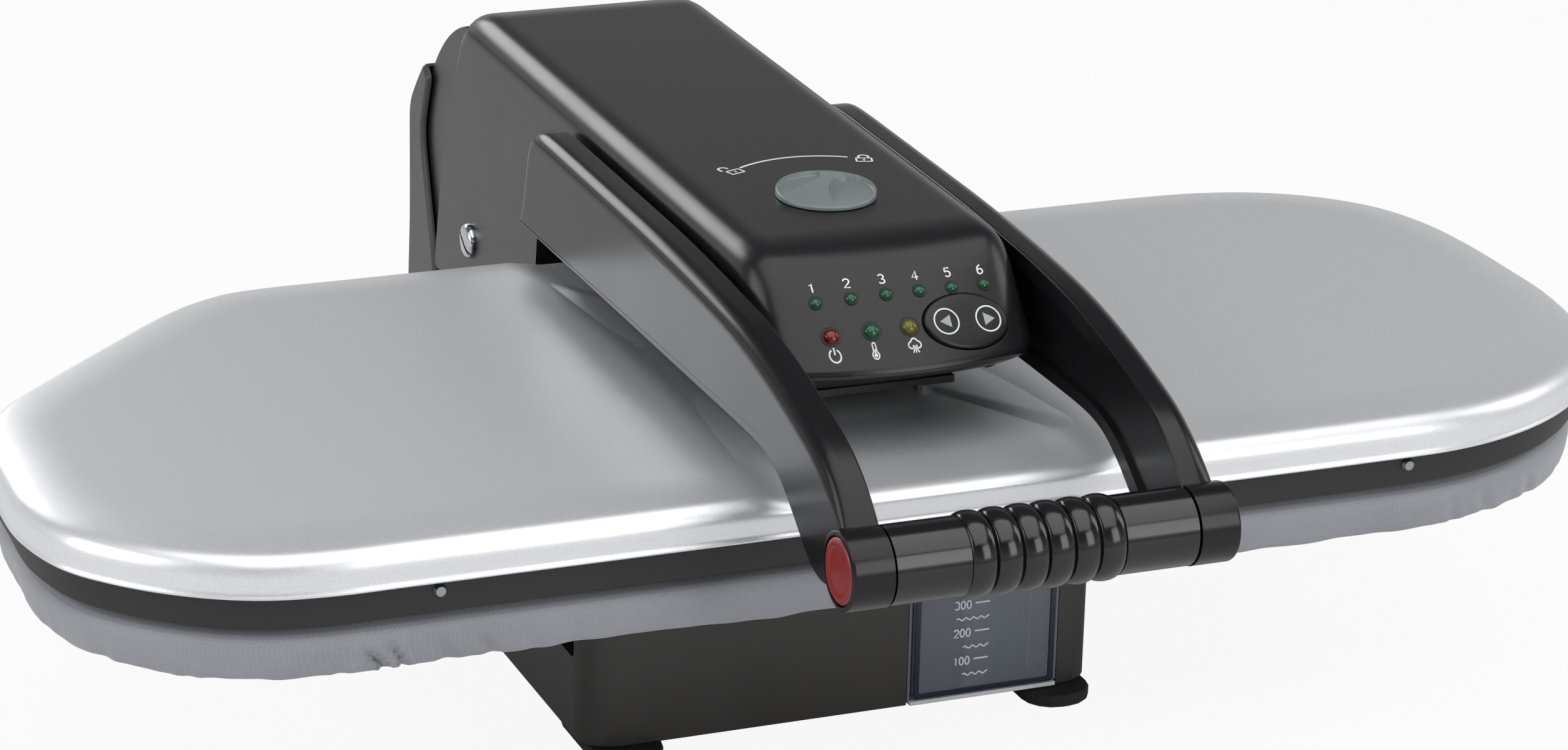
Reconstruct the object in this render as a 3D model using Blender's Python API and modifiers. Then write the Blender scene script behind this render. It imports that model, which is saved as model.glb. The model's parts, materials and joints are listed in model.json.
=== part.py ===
# Steam ironing press: base with a padded board, and a hinged head with a heated plate.
# Metres, +Z up, front towards -Y. The origin is on the floor under the middle of the bounding box.

import math

import bmesh
import bpy
from mathutils import Euler, Matrix, Vector

# Driving dimensions
half_width = 0.342            # board and plate, middle to end
half_depth = 0.308            # handle at the front, tower at the back
plate_front = 0.216           # rim of the plate in front of the origin
plate_back = 0.088            # rim of the plate behind the origin
press_height = 0.115          # where plate and board meet, and the height of the hinge
hinge_to_rear = 0.108         # from the hinge axis to the rear of the base
hinge_back = half_depth - hinge_to_rear              # hinge axis behind the origin
cloth_drop = 0.0220           # from the press line down to the hem of the board's cloth
board_rise = 0.0030           # from the base's top up to that hem
foot_height = 0.0055
base_half_width = 0.113
base_front = 0.121            # front wall of the base in front of the origin
base_step_back = 0.090        # where the high part of the base ends
base_top = press_height - cloth_drop - board_rise
base_rear_top = 0.0480
wall = 0.0025                 # moulded housings
sheet = 0.0012                # pressed sheet metal
seat = 0.0003                 # clearance between pieces that rest on each other
run = 0.0010                  # clearance between pieces that move past each other
overrun = 0.0040              # how far a cutter runs past what it cuts

# Board and plate outline, as shares of the half width and of the depth from front (0) to back (1)
outline_shares = (
    (-0.995, 0.42), (-0.995, 0.30), (-0.972, 0.195), (-0.930, 0.125), (-0.868, 0.062), (-0.795, 0.018),
    (-0.715, 0.001), (-0.60, 0.0), (-0.20, 0.0), (0.20, 0.0), (0.52, 0.0), (0.66, 0.006), (0.765, 0.040),
    (0.855, 0.100), (0.925, 0.180), (0.972, 0.280), (0.995, 0.40), (1.0, 0.52), (1.0, 0.64), (0.990, 0.745),
    (0.962, 0.835), (0.912, 0.905), (0.845, 0.957), (0.765, 0.988), (0.66, 1.0), (0.40, 1.0), (0.0, 1.0),
    (-0.40, 1.0), (-0.565, 0.998), (-0.635, 0.975), (-0.700, 0.925), (-0.79, 0.828), (-0.88, 0.727),
    (-0.950, 0.640), (-0.988, 0.545))
outline_steps = 2             # points between two table rows

# Colours of the pieces
dark_plastic = (0.055, 0.053, 0.055)
base_plastic = (0.035, 0.034, 0.033)
rubber_black = (0.018, 0.018, 0.018)
silver_paint = (0.42, 0.44, 0.46)
steel_grey = (0.55, 0.55, 0.56)
cloth_grey = (0.26, 0.27, 0.28)
foam_white = (0.78, 0.76, 0.70)
clear_blue = (0.62, 0.68, 0.80)
cap_red = (0.36, 0.03, 0.025)
knob_grey = (0.22, 0.25, 0.25)
board_green = (0.03, 0.16, 0.07)
light_green = (0.01, 0.12, 0.05)
light_red = (0.25, 0.01, 0.01)
light_olive = (0.20, 0.18, 0.01)

for old in list(bpy.data.objects):
    bpy.data.objects.remove(old, do_unlink=True)

pieces = bpy.data.collections.new("steam_ironing_press")
cutters = bpy.data.collections.new("cutters")
bpy.context.scene.collection.children.link(pieces)
bpy.context.scene.collection.children.link(cutters)


def finish(name, colour, roughness, metallic=0.0, alpha=1.0):
    material = bpy.data.materials.new(name)
    material.use_nodes = True
    shader = material.node_tree.nodes["Principled BSDF"]
    shader.inputs["Base Color"].default_value = (*colour, 1.0)
    shader.inputs["Roughness"].default_value = roughness
    shader.inputs["Metallic"].default_value = metallic
    shader.inputs["Alpha"].default_value = alpha
    return material


def plastic(name, colour=dark_plastic):
    return finish(name, colour, 0.35)


def metal(name, colour=steel_grey):
    return finish(name, colour, 0.3, 1.0)


def keep(name, mesh, material=None, smooth=True):
    """A piece of the press where a material is given, and a hidden cutter where it isn't."""
    thing = bpy.data.objects.new(name, mesh)
    if material is None:
        thing.hide_render = True
        thing.display_type = "WIRE"
        cutters.objects.link(thing)
    else:
        mesh.materials.append(material)
        pieces.objects.link(thing)
    if smooth:
        mesh.shade_smooth()
        mesh.set_sharp_from_angle(angle=math.radians(35))
    return thing


def to_mesh(work, name):
    mesh = bpy.data.meshes.new(name)
    bmesh.ops.recalc_face_normals(work, faces=work.faces[:])
    work.to_mesh(mesh)
    work.free()
    return mesh


def box(name, low, high, material=None, edge=0.0):
    """A block between two corners, its edges rounded by a bevel where edge is given."""
    low, high = Vector(low), Vector(high)
    work = bmesh.new()
    bmesh.ops.create_cube(work, size=1.0)
    bmesh.ops.scale(work, vec=high - low, verts=work.verts)
    bmesh.ops.translate(work, vec=(low + high) / 2, verts=work.verts)
    thing = keep(name, to_mesh(work, name), material)
    if edge:
        bevel = thing.modifiers.new("edges", "BEVEL")
        bevel.width = edge
        bevel.segments = 2
    return thing


def rod(name, start, end, radius, material=None, sides=24, end_radius=None):
    """A cylinder or a cone from one point to another."""
    start, end = Vector(start), Vector(end)
    along = end - start
    work = bmesh.new()
    bmesh.ops.create_cone(work, cap_ends=True, segments=sides, radius1=radius,
                          radius2=radius if end_radius is None else end_radius, depth=along.length)
    turn = along.to_track_quat("Z", "Y").to_matrix().to_4x4()
    bmesh.ops.transform(work, matrix=Matrix.Translation((start + end) / 2) @ turn, verts=work.verts)
    return keep(name, to_mesh(work, name), material)


def slab(name, outline, low, high, material=None, across="Z", edge=0.0, edge_steps=1):
    """A flat outline given a thickness across one axis: X takes (y, z) points, Y (x, z), Z (x, y)."""
    curve = bpy.data.curves.new(name, "CURVE")
    curve.dimensions = "2D"
    curve.fill_mode = "BOTH"
    curve.extrude = (high - low) / 2 - edge
    curve.bevel_depth = edge
    curve.bevel_resolution = edge_steps - 1
    curve.offset = -edge
    spline = curve.splines.new("POLY")
    spline.points.add(len(outline) - 1)
    for point, (u, v) in zip(spline.points, outline):
        point.co = (u, v, 0, 1)
    spline.use_cyclic_u = True
    turns = {"X": (math.pi / 2, 0, math.pi / 2), "Y": (math.pi / 2, 0, 0), "Z": (0, 0, 0)}
    middle = (low + high) / 2
    place = {"X": (middle, 0, 0), "Y": (0, middle, 0), "Z": (0, 0, middle)}[across]
    flat = bpy.data.objects.new(name + "_curve", curve)
    bpy.context.scene.collection.objects.link(flat)
    flat.location = place
    flat.rotation_euler = turns[across]
    bpy.context.view_layer.update()
    graph = bpy.context.evaluated_depsgraph_get()
    mesh = bpy.data.meshes.new_from_object(flat.evaluated_get(graph))
    mesh.transform(flat.matrix_world)
    bpy.data.objects.remove(flat, do_unlink=True)
    work = bmesh.new()
    work.from_mesh(mesh)
    bmesh.ops.remove_doubles(work, verts=work.verts, dist=seat / 10)
    bpy.data.meshes.remove(mesh)
    return keep(name, to_mesh(work, name), material)


def tube(name, points, radius, material=None, sides_step=1):
    """A round wire along points."""
    curve = bpy.data.curves.new(name, "CURVE")
    curve.dimensions = "3D"
    curve.bevel_depth = radius
    curve.bevel_resolution = sides_step
    curve.use_fill_caps = True
    spline = curve.splines.new("POLY")
    spline.points.add(len(points) - 1)
    for point, place in zip(spline.points, points):
        point.co = (*place, 1)
    line = bpy.data.objects.new(name + "_curve", curve)
    bpy.context.scene.collection.objects.link(line)
    graph = bpy.context.evaluated_depsgraph_get()
    mesh = bpy.data.meshes.new_from_object(line.evaluated_get(graph))
    bpy.data.objects.remove(line, do_unlink=True)
    work = bmesh.new()
    work.from_mesh(mesh)
    bmesh.ops.remove_doubles(work, verts=work.verts, dist=seat / 10)
    bpy.data.meshes.remove(mesh)
    return keep(name, to_mesh(work, name), material)


def turned(name, profile, centre, material=None, axis="Z", sides=32):
    """A turned piece: (radius, height) from top to bottom, screwed round the axis through centre."""
    mesh = bpy.data.meshes.new(name)
    mesh.from_pydata([(radius, 0, height) for radius, height in profile],
                     [(i, i + 1) for i in range(len(profile) - 1)], [])
    thing = keep(name, mesh, material, smooth=False)
    screw = thing.modifiers.new("turn", "SCREW")
    screw.steps = screw.render_steps = sides
    screw.use_merge_vertices = True
    screw.merge_threshold = seat / 30
    screw.use_smooth_shade = True
    thing.location = centre
    if isinstance(axis, (tuple, list, Euler)):
        thing.rotation_euler = axis
    elif axis == "X":
        thing.rotation_euler = (0, math.pi / 2, 0)
    elif axis == "-X":
        thing.rotation_euler = (0, -math.pi / 2, 0)
    return thing


def cut(thing, cutter, how="DIFFERENCE"):
    boolean = thing.modifiers.new(cutter.name, "BOOLEAN")
    boolean.operation = how
    boolean.solver = "EXACT"
    boolean.object = cutter
    return thing


def loft(name, rings, material=None, close_ends=True):
    """Rings of equally many points joined one to the next, the first and the last closed by a face."""
    work = bmesh.new()
    rows = [[work.verts.new(point) for point in ring] for ring in rings]
    count = len(rows[0])
    for lower, upper in zip(rows, rows[1:]):
        for i in range(count):
            work.faces.new((lower[i], lower[(i + 1) % count], upper[(i + 1) % count], upper[i]))
    if close_ends:
        work.faces.new(rows[0])
        work.faces.new(list(reversed(rows[-1])))
    else:
        for i in range(count):
            work.faces.new((rows[-1][i], rows[-1][(i + 1) % count], rows[0][(i + 1) % count], rows[0][i]))
    return keep(name, to_mesh(work, name), material)


def smooth_loop(points, steps):
    """A closed Catmull-Rom curve through points, with steps pieces between neighbours."""
    result = []
    count = len(points)
    for i in range(count):
        p0, p1, p2, p3 = (Vector(points[(i + k) % count]) for k in (-1, 0, 1, 2))
        for k in range(steps):
            t = k / steps
            result.append((2 * p1 + (p2 - p0) * t + (2 * p0 - 5 * p1 + 4 * p2 - p3) * t * t
                           + (3 * p1 - p0 - 3 * p2 + p3) * t ** 3) / 2)
    return result


plate_depth = plate_front + plate_back
plate_middle = (plate_back - plate_front) / 2
outline_loop = smooth_loop([(x, y * plate_depth - plate_front) for x, y in outline_shares], outline_steps)
outline_left, outline_right = min(p.x for p in outline_loop), max(p.x for p in outline_loop)
rim_line = [Vector(((2 * p.x - outline_left - outline_right) / (outline_right - outline_left) * half_width, p.y))
            for p in outline_loop]


def inset_line(amount):
    """The rim line moved inwards by an amount, along the bisector of each corner."""
    count = len(rim_line)
    result = []
    for i, point in enumerate(rim_line):
        before = (point - rim_line[i - 1]).normalized()
        after = (rim_line[(i + 1) % count] - point).normalized()
        inward = Vector((-(before + after).y, (before + after).x)).normalized()
        share = max(inward.dot(Vector((-before.y, before.x))), 0.5)
        result.append(point + inward * (amount / share))
    return result


def ring(amount, height, reach_share=1.0):
    """The rim line moved inwards, then drawn in towards the middle of the plate where a share is given."""
    middle = Vector((0, plate_middle))
    return [(*(middle + (p - middle) * reach_share), height) for p in inset_line(amount)]


def arc(centre, radius, start, end, steps):
    """Points round a centre, angles in degrees from straight up towards the second axis, both included."""
    result = []
    for k in range(steps + 1):
        angle = math.radians(start + (end - start) * k / steps)
        result.append((centre[0] + radius * math.sin(angle), centre[1] + radius * math.cos(angle)))
    return result


def rounded(corners, radii, steps=4):
    """A polygon with its corners replaced by arcs of the given radii."""
    result = []
    count = len(corners)
    for i, radius in enumerate(radii):
        corner = Vector(corners[i])
        to_last = (Vector(corners[i - 1]) - corner).normalized()
        to_next = (Vector(corners[(i + 1) % count]) - corner).normalized()
        if not radius:
            result.append(tuple(corner))
            continue
        half = to_last.angle(to_next) / 2
        reach = radius / math.tan(half)
        middle = corner + (to_last + to_next).normalized() * (radius / math.sin(half))
        first, last = corner + to_last * reach - middle, corner + to_next * reach - middle
        for k in range(steps + 1):
            point = first.lerp(last, k / steps).normalized() * radius
            angle = first.angle_signed(last) * -k / steps
            point = Vector((first.x * math.cos(angle) - first.y * math.sin(angle),
                            first.x * math.sin(angle) + first.y * math.cos(angle)))
            result.append(tuple(middle + point))
    return result


hinge_y, hinge_z = hinge_back, press_height

# Base housing: a box with low side walls under the board, and a lower part reaching back under the tower
base_bottom = foot_height
base_rear_half = 0.066        # half width of the base at the tower
base_taper_back = 0.200       # where the lower part has narrowed
side_cut_low = 0.040          # lower edge of the side cut-outs
side_cut_edge = 0.016         # what is left above, in front of and behind them
base_edge = 0.006
swing_half = 0.0505           # half width of the well that the drum turns into
tower_rear_wall = half_depth
bracket_reach = 0.050         # how far the hinge bracket runs in front of the axle
well_front = hinge_back - bracket_reach - run * 3


def base_plan(step):
    """The plan of the base's lower part, moved inwards by step."""
    half, rear = base_half_width - step, base_rear_half - step
    front, back = base_front - step, tower_rear_wall - step
    return rounded([(-half, -front), (half, -front), (half, base_step_back - step),
                    (rear, base_taper_back), (rear, back), (-rear, back), (-rear, base_taper_back),
                    (-half, base_step_back - step)],
                   [corner_radius - step, corner_radius - step, 0, 0, base_edge, base_edge, 0, 0])


def high_plan(step):
    half, front, back = base_half_width - step, base_front - step, base_step_back - step
    return rounded([(-half, -front), (half, -front), (half, back), (-half, back)],
                   [corner_radius - step, corner_radius - step, base_edge, base_edge])


corner_radius = 0.014
base_shell = slab("base_shell", base_plan(0), base_bottom, base_rear_top, plastic("base plastic", base_plastic))
cut(base_shell, slab("high_part", high_plan(0), base_bottom, base_top), "UNION")
cut(base_shell, slab("low_hollow", base_plan(wall), base_bottom - overrun, base_rear_top - wall))
cut(base_shell, slab("high_hollow", high_plan(wall), base_bottom - overrun, base_top - wall))
for side in (-1, 1):
    across = sorted((side * (base_half_width - wall - overrun), side * (base_half_width + overrun)))
    cut(base_shell, box("side_cut", (across[0], side_cut_edge - base_front, side_cut_low),
                        (across[1], base_step_back - side_cut_edge, base_top - side_cut_edge / 2)))
cut(base_shell, box("drum_well", (-swing_half, well_front, base_rear_top - wall - overrun),
                    (swing_half, tower_rear_wall - 3 * wall, base_rear_top + overrun)))

# Base floor and the feet under it
floor_thick = 0.0025
floor_low = base_bottom
floor_top = floor_low + floor_thick
base_floor = slab("base_floor", base_plan(wall + seat), floor_low, floor_top, plastic("floor plastic", base_plastic))
foot_half = 0.0150
foot_length = 0.062
foot_reach = 0.0115           # how far a front foot stands out in front of the base
foot_in = 0.0030                # from the base's side to the foot
foot_x = base_half_width - foot_half - foot_in
rear_foot_x = base_rear_half - foot_half
for name, x, y in (("foot_front_left", -foot_x, -base_front - foot_reach),
                   ("foot_front_right", foot_x, -base_front - foot_reach),
                   ("foot_rear_left", -rear_foot_x, tower_rear_wall - foot_length - base_edge),
                   ("foot_rear_right", rear_foot_x, tower_rear_wall - foot_length - base_edge)):
    plan = rounded([(x - foot_half, y), (x + foot_half, y), (x + foot_half, y + foot_length),
                    (x - foot_half, y + foot_length)], [foot_half * 0.9] * 4)
    slab(name, plan, 0, foot_height - seat, finish(name, rubber_black, 0.8), edge=foot_height / 8)

# Tank bay: a tunnel standing on the floor, and the tank in it
tank_wide = 0.0640
tank_in = 0.0200              # from the base's side to the tank
tank_right = base_half_width - tank_in
tank_left = tank_right - tank_wide
tank_front_proud = 0.0015
tank_deep = 0.104
tank_top = 0.0640
tank_wall = 0.0020
tank_gap = 0.0005
bay_wall = 0.0015
tank_low = floor_top + seat
tank_front = -base_front - tank_front_proud
tank_back = tank_front + tank_deep
bay_low, bay_high = tank_low, tank_top + tank_gap + bay_wall
cut(base_shell, box("bay_mouth", (tank_left - tank_gap - bay_wall, -base_front - overrun, base_bottom - overrun),
                    (tank_right + tank_gap + bay_wall, -base_front + wall + overrun, bay_high)))
tank_bay = box("tank_bay", (tank_left - tank_gap - bay_wall + seat, -base_front, bay_low),
               (tank_right + tank_gap + bay_wall - seat, tank_back + tank_gap + bay_wall, bay_high - seat),
               plastic("bay plastic", base_plastic))
cut(tank_bay, box("bay_hollow", (tank_left - tank_gap, -base_front - overrun, bay_low - overrun),
                  (tank_right + tank_gap, tank_back + tank_gap, tank_top + tank_gap)))
valve_x = (tank_left + tank_right) / 2
valve_rise = 0.0120
valve_z = tank_low + valve_rise
nozzle_radius = 0.0050
nozzle_bore_share = 0.75                # bore of the nozzle as a share of its outside
nozzle_long = 0.0100
socket_wall = 0.0020
socket_radius = nozzle_radius + tank_gap + socket_wall
cut(tank_bay, rod("nozzle_way", (valve_x, tank_back - overrun, valve_z),
                  (valve_x, tank_back + tank_gap + bay_wall + overrun, valve_z), nozzle_radius + tank_gap))

water_tank = box("water_tank", (tank_left, tank_front, tank_low), (tank_right, tank_back, tank_top),
                 finish("clear plastic", clear_blue, 0.1, 0.0, 0.35), edge=tank_wall / 2)
cut(water_tank, box("tank_inside", (tank_left + tank_wall, tank_front + tank_wall, tank_low + tank_wall),
                    (tank_right - tank_wall, tank_back - tank_wall, tank_top - tank_wall)))
filler_radius = 0.0110
filler_back = 0.0300
filler_y = tank_front + filler_back
cut(water_tank, rod("filler_hole", (valve_x, filler_y, tank_top - tank_wall - overrun),
                    (valve_x, filler_y, tank_top + overrun), filler_radius))
cut(water_tank, rod("nozzle", (valve_x, tank_back - tank_wall / 2, valve_z),
                    (valve_x, tank_back + nozzle_long, valve_z), nozzle_radius), "UNION")
cut(water_tank, rod("nozzle_bore", (valve_x, tank_back - tank_wall - overrun, valve_z),
                    (valve_x, tank_back + nozzle_long + overrun, valve_z), nozzle_radius * nozzle_bore_share))
# The filler plug sits in the hole, a little below the top of the tank
plug_step = 0.0020
plug_thick = tank_wall + plug_step
rod("tank_plug", (valve_x, filler_y, tank_top - plug_thick), (valve_x, filler_y, tank_top),
    filler_radius - seat, finish("tank_plug", rubber_black, 0.6))

# Valve socket behind the bay, pump beside it and the hose between them
socket_front = tank_back + tank_gap + bay_wall + seat
socket_long = 0.0200
socket_foot = 0.0060
tank_socket = rod("tank_socket", (valve_x, socket_front, valve_z), (valve_x, socket_front + socket_long, valve_z),
                  socket_radius, plastic("socket plastic", base_plastic))
cut(tank_socket, box("socket_stand", (valve_x - socket_foot, socket_front, floor_top + seat),
                     (valve_x + socket_foot, socket_front + socket_long, valve_z)), "UNION")
cut(tank_socket, rod("socket_bore", (valve_x, socket_front - overrun, valve_z),
                     (valve_x, socket_front + socket_long * 0.6, valve_z), nozzle_radius + tank_gap))
pump_radius = 0.0170
pump_long = 0.0600
pump_in = 0.0580              # from the base's left side to the middle of the pump
pump_x = pump_in - base_half_width
pump_y = -0.0200
pump_rise = 0.0030
pump_z = floor_top + seat + pump_radius + pump_rise
water_pump = rod("water_pump", (pump_x - pump_long / 2, pump_y, pump_z), (pump_x + pump_long / 2, pump_y, pump_z),
                 pump_radius, metal("pump metal"), sides=28)
cut(water_pump, box("pump_stand", (pump_x - pump_long / 3, pump_y - pump_radius, floor_top + seat),
                    (pump_x + pump_long / 3, pump_y + pump_radius, pump_z)), "UNION")
hose_radius = 0.0035
hose_start = Vector((valve_x, socket_front + socket_long + seat, valve_z))
hose_end = Vector((pump_x + pump_long / 2 + seat, pump_y, pump_z))
hose_points = []
hose_lead = Vector((0, hose_radius * 2, 0))
hose_tail = Vector((hose_radius * 2, 0, 0))
hose_count = 16
for k in range(hose_count + 1):
    t = k / hose_count
    a, b, c = hose_start + hose_lead, hose_start + hose_lead * 5, hose_end + hose_tail * 5
    hose_points.append(a * (1 - t) ** 3 + 3 * b * t * (1 - t) ** 2 + 3 * c * t * t * (1 - t)
                       + (hose_end + hose_tail) * t ** 3)
tube("pump_hose", [hose_start] + hose_points + [hose_end], hose_radius, finish("pump_hose", rubber_black, 0.7))

# Cord gland in the back wall of the base, low down. Its cord is left out
gland_radius = 0.0070
gland_bore = 0.0036
gland_z = (floor_top + base_rear_top) / 2
gland_x = base_rear_half / 2
gland_flange = 0.0020
cut(base_shell, rod("gland_hole", (gland_x, tower_rear_wall - wall - overrun, gland_z),
                    (gland_x, tower_rear_wall + overrun, gland_z), gland_radius))
cord_gland = rod("cord_gland", (gland_x, tower_rear_wall - wall - gland_radius, gland_z),
                 (gland_x, tower_rear_wall, gland_z), gland_radius - seat, finish("cord_gland", rubber_black, 0.7))
cut(cord_gland, rod("gland_flange", (gland_x, tower_rear_wall - wall - seat - gland_flange, gland_z),
                    (gland_x, tower_rear_wall - wall - seat, gland_z), gland_radius + gland_flange), "UNION")
cut(cord_gland, rod("gland_bore", (gland_x, tower_rear_wall - half_depth / 4, gland_z),
                    (gland_x, tower_rear_wall + overrun, gland_z), gland_bore))

# Rear tower: a hood standing on the base round the lower half of the drum
drum_radius = 0.0980
drum_gap = 0.0005              # between the drum and the well
tower_half = swing_half + drum_gap + wall
tower_gap = 0.0030
visor_way = 0.0085             # room over the drum for the rear edge of the head's top when the head is up
visor_way_end = 53.0           # degrees behind the vertical, where that room ends
tower_top_back = 0.092        # outline of the tower, measured from the hinge axis
tower_foot_front = 0.062
tower_face_front = 0.068
tower_top_height = 0.063
tower_shoulder = 0.0520


def from_hinge(back, up):
    return (hinge_y + back, hinge_z + up)


tower_low = base_rear_top + seat
tower_back = tower_rear_wall - hinge_y
tower_outline = [(hinge_y + tower_foot_front, tower_low), from_hinge(tower_face_front, -drum_radius * 0.30),
                 from_hinge(tower_top_back - 2 * wall, drum_radius * 0.28),
                 from_hinge(tower_top_back - 8 * wall, tower_top_height),
                 from_hinge(tower_top_back - 4 * wall, tower_top_height),
                 from_hinge(tower_top_back + wall * 0.4, tower_shoulder),
                 from_hinge(tower_back - wall, tower_shoulder * 0.72),
                 from_hinge(tower_back - wall * 0.8, -drum_radius * 0.1), (tower_rear_wall, tower_low)]
rear_tower = slab("rear_tower", tower_outline, -tower_half, tower_half, plastic("tower plastic"), across="X")
hollow_outline = ([(hinge_y - overrun, tower_low - overrun), (hinge_y - overrun, hinge_z + drum_radius)]
                  + arc((hinge_y, hinge_z), drum_radius + tower_gap, 25, 88, 10)
                  + [(tower_rear_wall - 2 * wall, tower_low - overrun)])
cut(rear_tower, slab("tower_hollow", hollow_outline, -tower_half + wall, tower_half - wall, across="X"))
cut(rear_tower, slab("visor_wedge", [(hinge_y, hinge_z)] + arc((hinge_y, hinge_z), drum_radius + visor_way, 25, visor_way_end, 8),
                     -tower_half - overrun, tower_half + overrun, across="X"))

# Hinge bracket on the floor, the axle through its ears, and the slotted caps outside the head
ear_inner = 0.0380
ear_thick = 0.0040
ear_radius = 0.0150
axle_radius = 0.0050
axle_run = 0.0003
bracket_tail = 0.0360          # how far it runs behind the axle
bracket_front, bracket_back = hinge_y - bracket_reach, hinge_y + bracket_tail
head_half = 0.0570
head_wall = 0.0025
bracket_steel = metal("bracket steel")
bracket_outline = ([(bracket_front, floor_top + seat), (bracket_back, floor_top + seat)]
                   + list(reversed(arc((hinge_y, hinge_z), ear_radius, -75, 75, 8))))
hinge_bracket = slab("hinge_bracket", bracket_outline, -ear_inner - ear_thick, ear_inner + ear_thick, bracket_steel,
                     across="X")
cut(hinge_bracket, box("bracket_gap", (-ear_inner, bracket_front - overrun, floor_top + seat + ear_thick),
                       (ear_inner, bracket_back + overrun, hinge_z + ear_radius + overrun)))
cut(hinge_bracket, rod("ear_bore", (-base_half_width, hinge_y, hinge_z), (base_half_width, hinge_y, hinge_z),
                       axle_radius + axle_run))
axle_half = head_half - head_wall - seat
rod("hinge_axle", (-axle_half, hinge_y, hinge_z), (axle_half, hinge_y, hinge_z), axle_radius, metal("axle steel"))
cap_radius = 0.0082
cap_proud = 0.0032
cap_slot = 0.0016
shank_radius = 0.0042
for name, side in (("hinge_cap_left", -1), ("hinge_cap_right", 1)):
    inner, face = axle_half + seat, head_half + seat
    profile = [(0, face + cap_proud), (cap_radius * 0.72, face + cap_proud), (cap_radius * 0.95, face + cap_proud * 0.6),
               (cap_radius, face), (shank_radius, face), (shank_radius, inner), (0, inner)]
    cap = turned(name, profile, (0, hinge_y, hinge_z), finish(name, steel_grey, 0.18, 1.0),
                 axis="X" if side > 0 else "-X")
    across = sorted((side * (face + cap_proud * 0.45), side * (face + cap_proud + overrun)))
    cut(cap, box(name + "_slot", (across[0], hinge_y - cap_slot / 2, hinge_z - cap_radius - overrun),
                 (across[1], hinge_y + cap_slot / 2, hinge_z + cap_radius + overrun)))

# Board: tray on the base, foam pad and the cloth cover drawn under its edge
cloth_thick = 0.0015
cloth_out = 0.0070            # the cloth's widest line, inside the plate's rim
cloth_low = press_height - cloth_drop
cloth_top = press_height - seat
hem_in = 0.0130
tray_low = base_top + seat
pad_in = 0.0130               # the foam's side, inside the plate's rim
pad_side = 0.0060             # height of the foam's widest line
crown_rise = cloth_top - cloth_low
# The cloth's section from the hem up to the crown: shares of the hem's inset, of the crown's rise and of the reach
# from the middle
cover_shares = ((1.77, 0.028, 1.0), (0.85, 0.0, 1.0), (0.63, 0.103, 1.0), (0.54, 0.374, 1.0), (0.485, 0.584, 1.0),
                (0.615, 0.771, 1.0), (0.92, 0.897, 1.0), (1.69, 0.967, 1.0), (1.69, 0.991, 0.70), (1.69, 1.0, 0.35))
# The inner face of the cloth: row of the table above, and the thicknesses it lies further in and higher up
lining_shares = ((0, 0.0, 1.0), (1, 0.7, 1.0), (2, 1.1, 0.5), (3, 1.0, 0.0), (4, 1.0, 0.0), (5, 1.1, -0.7),
                 (7, 0.0, -1.0), (9, 0.0, -1.0))


def cover_row(row, inward=0.0, upward=0.0):
    """Inset, height and reach of a row of the cloth's section, moved by whole or part thicknesses of the cloth."""
    inset_share, height_share, reach_share = cover_shares[row]
    return (inset_share * hem_in + inward * cloth_thick, cloth_low + height_share * crown_rise + upward * cloth_thick,
            reach_share)


outer = [ring(*cover_row(row)) for row in range(len(cover_shares))]
inner = [ring(*cover_row(*shares)) for shares in lining_shares]


def cloth_cover():
    """Outer rings from the hem to the crown, inner rings back down to the hem, joined there."""
    work = bmesh.new()
    rows = [[work.verts.new(p) for p in r] for r in outer]
    inside = [[work.verts.new(p) for p in r] for r in inner]
    count = len(rim_line)
    for group, flip in ((rows, False), (inside, True)):
        for lower, upper in zip(group, group[1:]):
            for i in range(count):
                face = (lower[i], lower[(i + 1) % count], upper[(i + 1) % count], upper[i])
                work.faces.new(tuple(reversed(face)) if flip else face)
        work.faces.new(group[-1])
    for i in range(count):
        work.faces.new((rows[0][i], inside[0][i], inside[0][(i + 1) % count], rows[0][(i + 1) % count]))
    return keep("board_cover", to_mesh(work, "board_cover"), finish("cover cloth", cloth_grey, 0.9))


cloth_cover()
hem_line, hem_top, _ = cover_row(0, 0.0, 1.0)
slab("board_tray", [tuple(p) for p in inset_line(hem_line + run)], tray_low, hem_top, metal("tray steel"))
pad_low = hem_top + seat
shoulder_in, shoulder_top, _ = cover_row(7, 0.0, -1.0)
_, crown_top, crown_share = cover_row(9, 0.0, -1.0)
pad_profile = [(pad_in, pad_low), (pad_in - seat, pad_low + pad_side), (pad_in, cover_row(5, 0.0, -2.0)[1]),
               (shoulder_in, shoulder_top - 2 * seat), (shoulder_in, crown_top - 2 * seat, crown_share)]
loft("board_pad", [ring(*row) for row in pad_profile], finish("pad foam", foam_white, 0.9))

# Heated plate: soleplate, insulating band round it, silver cover on top
sole_thick = 0.0060
band_low = press_height + seat
band_height = 0.0130
band_out = 0.0050
band_wide = 0.0080
rim_low = band_low + band_height + seat
rim_height = 0.0185
rim_round = 0.0090
plate_top = rim_low + rim_height
sole_low = press_height + seat
sole_inset = band_out + band_wide + seat
soleplate = slab("soleplate", [tuple(p) for p in inset_line(sole_inset)], sole_low, sole_low + sole_thick,
                 metal("cast aluminium"))
insulating_band = slab("insulating_band", [tuple(p) for p in inset_line(band_out)], band_low,
                       band_low + band_height, plastic("band plastic", base_plastic))
cut(insulating_band, slab("band_middle", [tuple(p) for p in inset_line(band_out + band_wide)], band_low - overrun,
                          band_low + band_height + overrun))
rim_steps = 5
rim_arc = [(rim_round * (1 - math.cos(math.pi / 2 * k / rim_steps)),
            rim_round * (math.sin(math.pi / 2 * k / rim_steps) - 1)) for k in range(rim_steps + 1)]
cover_outer = [ring(0, rim_low)] + [ring(amount, plate_top + drop) for amount, drop in rim_arc]
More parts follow.
